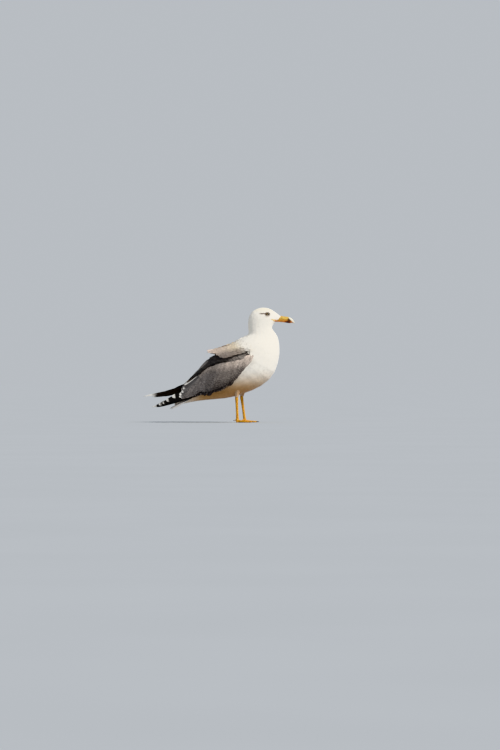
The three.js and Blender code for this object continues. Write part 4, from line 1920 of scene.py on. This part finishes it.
@dataclass
class Wing:
    """One folded wing: scapulars, coverts, tertials and primaries.

    Places on it are shares of the wing's box: rearwards from its front, and down from its top.
    """

    side: Side
    marks: Markings
    down: Material
    plumage: Material
    quill: Material
    core: Material
    seed: int = 11
    hanging: int = 16  # how many dark feathers hang past the lower edge
    core_end: float = 0.66  # where the rear of the scapulars' core begins to be drawn forward

    # where the coverts' upper and lower edges run
    top_line: Line = (
        (0.0, 0.112), (0.072, 0.126), (0.217, 0.173), (0.361, 0.219), (0.483, 0.259), (0.607, 0.327),
        (0.689, 0.421),
    )
    low_line: Line = (
        (0.018, 0.201), (0.149, 0.419), (0.316, 0.727), (0.487, 0.829), (0.659, 0.898), (0.825, 0.939),
        (0.983, 1.0),
    )
    # the feathers between scapulars and coverts, darkened by painted shadow: roots, and tips
    band_roots: Line = (
        (0.045, -0.018), (0.217, 0.037), (0.361, 0.071), (0.483, 0.078), (0.564, 0.098),
    )
    band_tips: Line = (
        (0.081, 0.129), (0.235, 0.18), (0.379, 0.228), (0.514, 0.276), (0.641, 0.365),
    )
    # pale colours the coverts' top and front, partly as painted sunlight, and lightens their tips
    pale: Array = toned(214, 198, 186)
    mid: Array = toned(126, 118, 113)
    # dark is painted shade on the cores, and partly painted shade on the lower coverts and the hanging
    # feathers
    dark: Array = toned(66, 61, 60)
    lilac: Array = toned(113, 109, 109)
    white: Array = toned(236, 232, 226)
    black: Array = toned(22, 20, 20)
    brown: Array = toned(96, 84, 75)

    def build(self) -> None:
        """Makes the wing's pieces, from the inside out."""
        self.build_cores()
        self.build_primaries()
        face = self.side_face("wing")
        for build in (self.build_coverts, self.build_band, self.build_tertials, self.build_hanging):
            build(face)
        self.build_fringe()
        self.build_scapulars()

    def build_cores(self) -> None:
        """Makes the dense inner feathering that the outer feathers lie on."""
        for part in ("wing", "scapulars"):
            node = f"{part}_{self.side.word}"
            mesh = remeshed(f"{part}_core_{self.side.word}", (node,), 1.8 * MM, 0.0, 6)
            shrink(mesh, 0.9 * MM)
            places = places_of(mesh)
            # the cores are painted dark as shade in the gaps between the feathers over them; the scapulars'
            # core stays white under the white neck
            shade = np.broadcast_to(self.dark, places.shape)
            if part == "scapulars":
                rear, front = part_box(node)[0][0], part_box(node)[1][0]
                past = np.maximum((front - places[:, 0]) / (front - rear) - self.core_end, 0)
                places[:, 0] += 0.55 * past * (front - rear)
                move_points(mesh, places)
                shade = mix(self.marks.white, self.dark, self.marks.behind_collar(places))
            paint(mesh, shade)
            add_piece(mesh, self.core, "wing_feathers", node)

    def side_face(self, *parts: str, rounds: int = 6) -> Face:
        """Takes the outer face of parts of this side, or of the body, as the bird's side shows it.

        Args:
            parts: the parts' names without the side.
            rounds: how often the face is smoothed.

        Returns:
            The face.
        """
        nodes = tuple(part if part in ("trunk", "neck") else f"{part}_{self.side.word}" for part in parts)
        return Relief(nodes, -FORWARD, -UP, self.side.out, rounds=rounds).build()

    def build_coverts(self, face: Face) -> None:
        """Makes the coverts: soft and pale above, dark and hanging below, slaty at the rear.

        Args:
            face: the wing's outer face.
        """
        rng = np.random.default_rng(self.seed)
        down, along = staggered(17, 46, rng)
        top, low = (spline(line, np.clip(along, 0, 1) * 6) for line in (self.top_line, self.low_line))
        tips = mix(top, low, 0.05 + 0.97 * down)
        size = face.span
        fall = unit((low - top) * size)
        way = unit(mix(np.array([0.8, 0.6]), fall, 0.45 + 0.45 * down))
        length = (13 + 9 * along + 5 * down) * MM
        roots = tips - way * length[:, None] / size
        # pale above and in front, darker below: partly painted sunlight and painted shade
        front = ramp(0.32, 0.04, along)
        colour = mix(self.pale, self.mid, ramp(0.16, 0.6, down * (1 - 0.7 * front) + 0.4 * along))
        colour = mix(colour, self.dark, 0.9 * ramp(0.5, 0.95, down) * ramp(1.0, 0.7, along) * (1 - front))
        colour = mix(colour, self.lilac, 0.85 * ramp(0.5, 0.72, along) * ramp(0.05, 0.4, down))
        streak = 0.5 + 0.5 * np.sin(along * 61 + 2 * np.sin(along * 23) + 1.5 * down)
        colour = colour * (0.66 + 0.34 * streak + 0.3 * rng.random(len(down)))[:, None]
        worn = 0.45 * (rng.random(len(down)) < 0.08 * ramp(0.2, 0.5, down))
        colour = mix(colour, self.dark, worn)
        plumes = laid_out(
            face, roots, tips, length * 0.5, colour, tip_colour=mix(colour, self.pale, 0.3),
            edge=0.5 * rng.random(len(down)), tip_from=0.95,
            depth=1.1 * MM + 0.35 * MM * rng.random(len(down)),
            lift=0.9 * MM + 0.5 * MM * rng.random(len(down)), thick=0.12 * MM,
            bend=rng.normal(0.05, 0.05, len(down)),
        )
        self.add("coverts", face, plumes, soft=0.55)

    def build_band(self, face: Face) -> None:
        """Makes the feathers that show between the scapulars and the coverts, darkened by painted shadow.

        Args:
            face: the wing's outer face.
        """
        rng = np.random.default_rng(self.seed + 1)
        up, along = staggered(5, 17, rng)
        along = 0.13 + 0.87 * along
        starts, ends = (spline(line, np.clip(along, 0, 1) * 4) for line in (self.band_roots, self.band_tips))
        tips = mix(ends, starts, 0.8 * up)
        roots = tips - np.array([20 * MM, 11 * MM]) / face.span
        # darker towards the rear, partly as painted shade, and black along the lowest row as painted shadow
        # under the overhanging scapulars
        colour = mix(tone(140, 132, 126), tone(88, 83, 81), ramp(0.3, 0.9, along))
        colour = mix(colour, self.black, ramp(0.22, 0.0, up) * ramp(0.25, 0.6, along))
        colour = colour * (0.8 + 0.4 * rng.random((len(up), 1)))
        plumes = laid_out(
            face, roots, tips, 12 * MM, colour,
            depth=(2.0 + 2.2 * up) * MM, lift=2.2 * MM, thick=0.16 * MM, bend=rng.normal(0, 0.04, len(up)),
        )
        self.add("humerals", face, plumes, soft=0.45)

    def build_tertials(self, face: Face) -> None:
        """Makes the tertials and the secondaries' ends, with their white tips.

        Args:
            face: the wing's outer face.
        """
        grey, slate = tone(112, 108, 107), tone(93, 90, 90)
        rows = (
            # root along and down, tip along and down, width mm, height mm, colour, white from, bend
            (0.577, 0.713, 0.997, 1.000, 15, 0.9, self.dark, 1.2, 0.0),
            (0.56, 0.60, 1.01, 0.985, 17, 1.3, slate, 0.935, -0.01),
            (0.568, 0.50, 1.034, 0.965, 19, 1.8, grey, 0.93, -0.01),
            (0.586, 0.43, 1.028, 0.905, 20, 2.3, slate, 0.935, -0.01),
            (0.60, 0.38, 0.995, 0.852, 20, 2.8, grey, 0.94, -0.01),
            (0.60, 0.33, 0.965, 0.79, 18, 3.3, slate, 0.95, -0.01),
            (0.62, 0.31, 0.955, 0.725, 13, 3.4, self.brown, 1.2, -0.02),
            (0.64, 0.36, 0.94, 0.72, 9, 3.9, self.white * 0.9, 1.2, -0.02),
            (0.62, 0.32, 0.90, 0.665, 9, 4.3, self.brown * 0.8, 1.2, -0.01),
            # the near-black upper rows: painted shade along the wing's upper rear edge
            (0.56, 0.21, 0.865, 0.62, 15, 4.2, tone(34, 31, 30), 1.2, 0.0),
            (0.53, 0.17, 0.80, 0.56, 16, 4.3, tone(48, 45, 43), 1.2, 0.0),
            (0.50, 0.14, 0.725, 0.49, 18, 4.4, tone(58, 55, 53), 1.2, 0.0),
            (0.47, 0.12, 0.655, 0.42, 18, 4.6, tone(74, 70, 68), 1.2, 0.0),
        )
        table = np.array([[*row[:6], *row[7:]] for row in rows])
        shade = np.array([row[6] for row in rows])
        plumes = laid_out(
            face, table[:, 0:2], table[:, 2:4], table[:, 4] * MM, shade,
            tip_colour=np.broadcast_to(self.white, shade.shape), tip_from=table[:, 6],
            depth=table[:, 5] * MM * 0.75, lift=table[:, 5] * MM * 0.25 + 0.4 * MM, bend=table[:, 7],
        )
        layer = Layer(face.surface, FLIGHT, plumes)
        add_piece(layer.mesh(f"tertials_{self.side.word}", True), self.quill, "wing_feathers")

    def build_hanging(self, face: Face) -> None:
        """Makes the dark feathers that hang past the wing's lower edge.

        Args:
            face: the wing's outer face.
        """
        rng = np.random.default_rng(self.seed + 2)
        count = self.hanging
        share = (np.arange(count) + rng.uniform(-0.3, 0.3, count)) / (count - 1)
        tips = spline(self.low_line, 1.6 + 3.2 * np.clip(share, 0, 1)) + np.array([0.01, 0.012])
        tips[:, 1] += 0.045 * np.exp(-(((tips[:, 0] - 0.6) / 0.05) ** 2)) + rng.uniform(-0.012, 0.012, count)
        way = unit(np.array([0.5, 0.86]) + rng.normal(0, 0.08, (count, 2)))
        roots = tips - way * 24 * MM / face.span
        # their darkness is partly painted shade along the wing's lower edge
        colour = self.dark * (0.5 + 0.5 * rng.random((count, 1)))
        plumes = laid_out(
            face, roots, tips, 12 * MM, colour, depth=(1.8 + 0.5 * rng.random(count)) * MM,
            lift=0.6 * MM, thick=0.16 * MM, bend=rng.normal(0, 0.05, count),
        )
        self.add("hanging_coverts", face, plumes, soft=0.4)

    def build_primaries(self) -> None:
        """Makes the outer primaries, black with white tips."""
        face = self.side_face("primaries")
        if self.side is Side.RIGHT:
            tips = [(0.619, 0.44), (0.729, 0.61), (0.803, 0.71), (0.876, 0.787), (0.95, 0.88), (1.0, 0.956)]
            root, drop, white = (0.02, 0.08), 0.035, [0.9, 0.95, 0.968, 0.96, 0.972, 0.93]
        else:
            tips = [(0.419, 0.48), (0.531, 0.658), (0.655, 0.783), (0.773, 0.854), (0.83, 0.90), (1.0, 0.97)]
            root, drop, white = (-0.26, -0.12), 0.04, [1.2, 0.95, 0.95, 0.955, 0.955, 0.84]
        step = np.arange(6)
        roots = np.array(root) + np.stack([0 * step, drop * step], -1)
        colour = np.tile(self.black, (6, 1)) * (1 + 0.3 * (step[:, None] % 2))
        plumes = laid_out(
            face, roots, np.array(tips), np.array([20, 19.5, 18.5, 17, 15, 6.5]) * MM, colour,
            tip_colour=np.tile(self.white, (6, 1)), tip_from=np.array(white),
            depth=(2.4 - 0.5 * step) * MM, lift=0.3 * MM, thick=0.35 * MM,
            bend=np.where(step < 5, 0.02, 0.0), under=np.tile(tone(40, 33, 29), (6, 1)),
        )
        mesh = Layer(face.surface, FLIGHT, plumes).mesh(f"primary_quills_{self.side.word}", True)
        add_piece(mesh, self.quill, "primary_feathers", f"primaries_{self.side.word}")

    def build_fringe(self) -> None:
        """Makes the white flank feathers that lap over the wing's front and lower edge."""
        rng = np.random.default_rng(self.seed + 3)
        face = self.side_face("wing", "trunk", "neck", rounds=16)
        edge = np.array([(0.02, -0.08), (0.012, 0.05), (-0.005, 0.13), *self.low_line[:4]])
        row, along = staggered(8, 50, rng)
        at = np.clip(along, 0, 0.9) * (len(edge) - 1)
        line, ahead = spline(edge, at), spline(edge, np.minimum(at + 0.02, len(edge) - 1))
        way = unit((ahead - line) * face.span)
        out = np.stack([-way[:, 1], way[:, 0]], -1)  # away from the wing: forward and down
        offset = (6.5 + 15 * row) * MM
        roots = line + (out * offset[:, None] - way * 9 * MM) / face.span
        tips = line + (out * (offset - 6 * MM)[:, None] + way * 9 * MM) / face.span
        tint = tints(len(row), 0.95, 0.06, rng)
        plumes = laid_out(
            face, roots, tips, 8.5 * MM, tint, depth=(0.15 + 1.5 * (1 - row)) * MM, lift=0.5 * MM,
            thick=0.1 * MM, bend=rng.normal(0, 0.05, len(row)), under=tint,
        )
        layer = Layer(face.surface, COVERT, plumes, 0.8, self.marks.body)
        add_piece(layer.mesh(f"flank_fringe_{self.side.word}"), self.down, "plumage_body")

    def build_scapulars(self) -> None:
        """Makes the scapulars, lengthening to the pointed rear end that overhangs the wing."""
        rng = np.random.default_rng(self.seed + 5)
        along = unit(np.array([-0.93, 0, -0.36]))
        across = unit(np.array([-0.03, 0.8 * self.side.value, -0.6]))
        across = unit(across - (across @ along) * along)
        outward = -self.side.value * np.cross(along, across)
        face = Relief((f"scapulars_{self.side.word}",), along, across, outward).build()
        f, g = staggered(19, 13, rng)
        f, g = f * 0.96 - 0.08, g * 1.03 - 0.04
        inside = (g < 1.1 - 0.95 * ramp(0.42, 0.82, f)) & (f < 0.76)
        f, g = f[inside], g[inside]
        count = len(f)
        length = (13 + 15 * ramp(0.0, 0.8, f)) * MM
        toward = np.stack([np.ones(count), 0.6 * (0.2 - g) * ramp(0.2, 0.9, f)], -1)
        roots = np.stack([f, g], -1)
        tips = roots + unit(toward) * (length[:, None] / face.span)
        # the pale warm beige is partly painted sunlight on grey feathers
        colour = mix(tone(226, 210, 182), tone(208, 188, 172), ramp(0.15, 0.55, f))
        colour = mix(colour, tone(150, 132, 126), ramp(0.62, 0.95, f))
        under = ramp(0.6, 0.92, g + 0.2 * f)
        colour = mix(colour, tone(132, 120, 113), 0.9 * under)
        colour = colour * (0.82 + 0.3 * rng.random((count, 1)))
        edge_line = ramp(0.62, 0.8, f) * ramp(0.3, 0.12, g)
        colour = mix(colour, tone(232, 214, 204), 0.85 * edge_line)
        places = face.surface.place(*face.find(roots))[0]
        places[:, 0] -= 12 * MM * under
        white = self.marks.white * (0.95 + 0.05 * rng.random((count, 1)))
        colour = mix(white, colour, self.marks.behind_collar(places))
        plumes = laid_out(
            face, roots, tips, np.maximum(8 * MM, 0.42 * length), colour,
            tip_colour=mix(colour, self.white, 0.3), edge=0.4 * rng.random(count), tip_from=0.95,
            depth=1.3 * MM + 0.3 * MM * rng.random(count), lift=0.7 * MM + 0.4 * MM * rng.random(count),
            thick=0.13 * MM, bend=rng.normal(0, 0.05, count),
        )
        self.add("scapular_coat", face, plumes, soft=0.6)

    def add(self, name: str, face: Face, plumes: Plumes, soft: float) -> None:
        """Makes one group of coverts or scapulars a piece.

        Args:
            name: the group's name without the side.
            face: the face that they lie on.
            plumes: the feathers.
            soft: how far the shading follows the face rather than each vane.
        """
        layer = Layer(face.surface, COVERT, plumes, soft)
        add_piece(layer.mesh(f"{name}_{self.side.word}"), self.plumage, "wing_feathers")


@dataclass
class Back:
    """The feathers along the middle that close the grooves between the two wings."""

    marks: Markings
    plumage: Material
    quill: Material
    seed: int = 23
    meeting: int = 20  # how many tertials meet over the rump

    def build(self) -> None:
        """Makes the ridge of the mantle and the tertials that meet over the rump."""
        self.build_mantle()
        self.build_meeting()

    def build_mantle(self) -> None:
        """Makes the mantle's middle strip."""
        rng = np.random.default_rng(self.seed)
        face = self.top_face("scapulars", 0.9, 0.43, 14)
        f, g = staggered(24, 9, rng)
        f, over = f * 0.84 - 0.04, (g - 0.5) * 2
        roots = np.stack([f, face.from_middle(over * 17 * MM * ramp(1.25, 0.5, f))], -1)
        count = len(f)
        length = (12 + 14 * ramp(0.0, 0.8, f)) * MM
        tips = roots + np.stack([np.ones(count), -0.15 * over], -1) * (length[:, None] / face.span)
        places = face.surface.place(*face.find(roots))[0]
        # the pale warm beige is partly painted sunlight on grey feathers
        colour = mix(tone(222, 208, 184), tone(188, 170, 158), ramp(0.3, 0.9, f))
        colour = colour * (0.84 + 0.24 * rng.random((count, 1)))
        colour = mix(self.marks.white * 0.97, colour, self.marks.behind_collar(places))
        plumes = laid_out(
            face, roots, tips, np.maximum(8 * MM, 0.45 * length), colour,
            tip_colour=np.clip(colour * 1.2, 0, 1), edge=0.4 * rng.random(count), tip_from=0.95,
            depth=1.0 * MM + 0.3 * MM * rng.random(count), thick=0.13 * MM, bend=rng.normal(0, 0.04, count),
        )
        layer = Layer(face.surface, COVERT, plumes, 0.6)
        add_piece(layer.mesh("mantle_ridge"), self.plumage, "wing_feathers")

    def build_meeting(self) -> None:
        """Makes the tertials of both wings where they meet over the rump."""
        face = self.top_face("wing", 0.85, 0.53, 12)
        step = np.arange(self.meeting)
        side = np.where(step % 2 == 0, 1.0, -1.0)
        rank = step // 2
        tips = np.stack([0.965 - 0.04 * rank, face.from_middle(side * (8.0 + 0.4 * rank) * MM)], -1)
        roots = np.stack([tips[:, 0] - 0.27, face.from_middle(side * 7.0 * MM)], -1)
        colour = mix(tone(96, 91, 90), tone(132, 124, 120), ramp(0.0, 9.0, rank))
        colour = colour * (1 + 0.12 * (rank % 2))[:, None]
        plumes = laid_out(
            face, roots, tips, 23 * MM, colour, tip_colour=np.tile(self.marks.shade, (self.meeting, 1)),
            tip_from=np.where(rank < 4, 0.955, NO_TIP), depth=(1.2 + 0.25 * rank) * MM, lift=0.5 * MM,
            bend=side * 0.006,
        )
        layer = Layer(face.surface, FLIGHT, plumes)
        add_piece(layer.mesh("meeting_tertials", True), self.quill, "wing_feathers")

    @staticmethod
    def top_face(part: str, rearward: float, fall: float, rounds: int) -> Face:
        """Takes the upper face that both sides' parts make together.

        Args:
            part: the parts' name without the side.
            rearward: how far back the face runs, for each fall.
            fall: how far it drops meanwhile.
            rounds: how often it is smoothed.

        Returns:
            The face.
        """
        nodes = tuple(f"{part}_{side.word}" for side in Side)
        along, outward = np.array([-rearward, 0, -fall]), np.array([-fall, 0, rearward])
        return Relief(nodes, along, LEFT, outward, rounds=rounds).build()


@dataclass
class Tail:
    """The closed tail: twelve white feathers, the middle pair on top."""

    quill: Material
    feathers: int = 12
    slope: float = 30.5
    # a greyed white: painted shade on the white tail
    white: Array = toned(212, 207, 204)

    def build(self) -> None:
        """Makes the fan."""
        lean = math.radians(self.slope)
        along = np.array([-math.cos(lean), 0, -math.sin(lean)])
        outward = np.array([-math.sin(lean), 0, math.cos(lean)])
        face = Relief(("tail",), along, LEFT, outward).build()
        rank = np.arange(self.feathers) - (self.feathers - 1) / 2
        rank = rank[np.argsort(-np.abs(rank))]
        roots = np.stack([np.full(self.feathers, -0.25), 0.5 + 0.03 * rank], -1)
        tips = np.stack([0.995 - 0.004 * np.abs(rank) ** 1.5, 0.5 + 0.078 * rank], -1)
        colour = np.tile(self.white, (self.feathers, 1)) * (0.94 + 0.01 * np.abs(rank)[:, None])
        plumes = laid_out(
            face, roots, tips, 17 * MM, colour, tip_colour=colour * 0.9, tip_from=0.97,
            depth=(0.8 - 0.38 * np.abs(rank)) * MM, lift=0.2 * MM,
            # the undersides darker still: painted shade
            thick=0.32 * MM, bend=0.004 * rank, under=colour * 0.75,
        )
        layer = Layer(face.surface, FLIGHT, plumes)
        add_piece(layer.mesh("tail_quills", True), self.quill, "tail_feathers", "tail")


@dataclass(frozen=True)
class Studio:
    """The floor, the light and the camera."""

    eye_level: float = 0.147
    distance: float = 12.917
    lens: float = 200.0
    aim_x: float = 0.0943
    surround: Colour = (0.52, 0.55, 0.58)
    sun_from: Colour = (0.62, -0.42, 0.66)
    sun_power: float = 3.4

    def build(self) -> None:
        """Sets the stage."""
        self.build_floor()
        self.build_light()
        self.build_camera()

    def build_floor(self) -> None:
        """Lays a wide pale floor."""
        bm = bmesh.new()
        bmesh.ops.create_grid(bm, x_segments=1, y_segments=1, size=60)
        floor = bpy.data.objects.new("floor", finished("floor", bm))
        bpy.context.scene.collection.objects.link(floor)
        g = Graph("floor_paint")
        cloud = g.noise(3.0, 2.0)
        first, second = ((0.417, 0.441, 0.473), (0.425, 0.449, 0.481))
        colour = g.blended(g.spread(cloud, 0.3, 0.7, 0.0, 1.0), first, second)
        floor.data.materials.append(g.finish(colour, 1.0, {"Specular IOR Level": 0.0}))

    def build_light(self) -> None:
        """Hangs one broad soft lamp far off, ahead of the bird, in a pale surround."""
        data = bpy.data.lights.new("key", "SUN")
        data.angle = math.radians(13)
        data.energy = self.sun_power
        data.color = (1.0, 0.96, 0.89)
        lamp = bpy.data.objects.new("key", data)
        lamp.rotation_euler = Vector(self.sun_from).to_track_quat("Z", "Y").to_euler()
        bpy.context.scene.collection.objects.link(lamp)
        world = bpy.data.worlds.new("surround")
        world.use_nodes = True
        world.node_tree.nodes["Background"].inputs[0].default_value = (*self.surround, 1.0)
        world.node_tree.nodes["Background"].inputs[1].default_value = 1.0
        bpy.context.scene.world = world
        bpy.context.scene.view_settings.view_transform = "Khronos PBR Neutral"

    def build_camera(self) -> None:
        """Stands the camera level with the bird's belly, far off, square to its right side."""
        data = bpy.data.cameras.new("camera")
        data.lens = self.lens
        data.clip_end = 200
        camera = bpy.data.objects.new("camera", data)
        camera.location = (self.aim_x, -self.distance, self.eye_level)
        camera.rotation_euler = (math.pi / 2, 0, 0)
        bpy.context.scene.collection.objects.link(camera)
        bpy.context.scene.camera = camera


def main() -> None:
    """Builds the bird over the frame, and the studio round it."""
    logging.basicConfig(level=logging.INFO, format="%(name)s %(message)s")
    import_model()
    marks = Markings()
    down = Plumage("body_plumage", barbs=34, mottle=0.05, shaft=0.05, relief=0.04 * MM).material()
    coverts = Plumage("wing_plumage", roughness=0.68, sheen=0.12, mottle=0.16, shaft=0.35).material()
    quills = Plumage("quill_vanes", roughness=0.55, sheen=0.08, barbs=70, mottle=0.12, shaft=0.45).material()
    hide = Hide("feathered_skin").material()
    flesh = Horn("gape_skin", roughness=0.42, coat=0.1, grain=800.0, depth=0.08 * MM).material()
    bare = ScalySkin("leg_skin", tone(244, 184, 66), tone(226, 152, 40), tone(130, 80, 22)).material()
    claw = Plain("claw_horn", tone(52, 42, 36), tone(26, 21, 19), 0.35, 700.0).material()
    lid = Plain("lid_skin", tone(104, 58, 38), tone(70, 38, 26), 0.5, 900.0).material()
    Body(marks, hide, down, flesh).build()
    Bill(Horn("bill_horn").material()).build()
    for side in Side:
        Eye(side).build(lid)
        Leg(side, marks, bare, claw, down).build()
        Wing(side, marks, down, coverts, quills, coverts, seed=11 + side.value).build()
    Back(marks, coverts, quills).build()
    Tail(quills).build()
    Studio().build()
    total = sum(len(p.vertices) - 2 for o in bpy.data.objects if o.type == "MESH" for p in o.data.polygons)
    LOG.info("triangles, hidden nodes among them: %d", total)


if __name__ == "__main__":
    main()
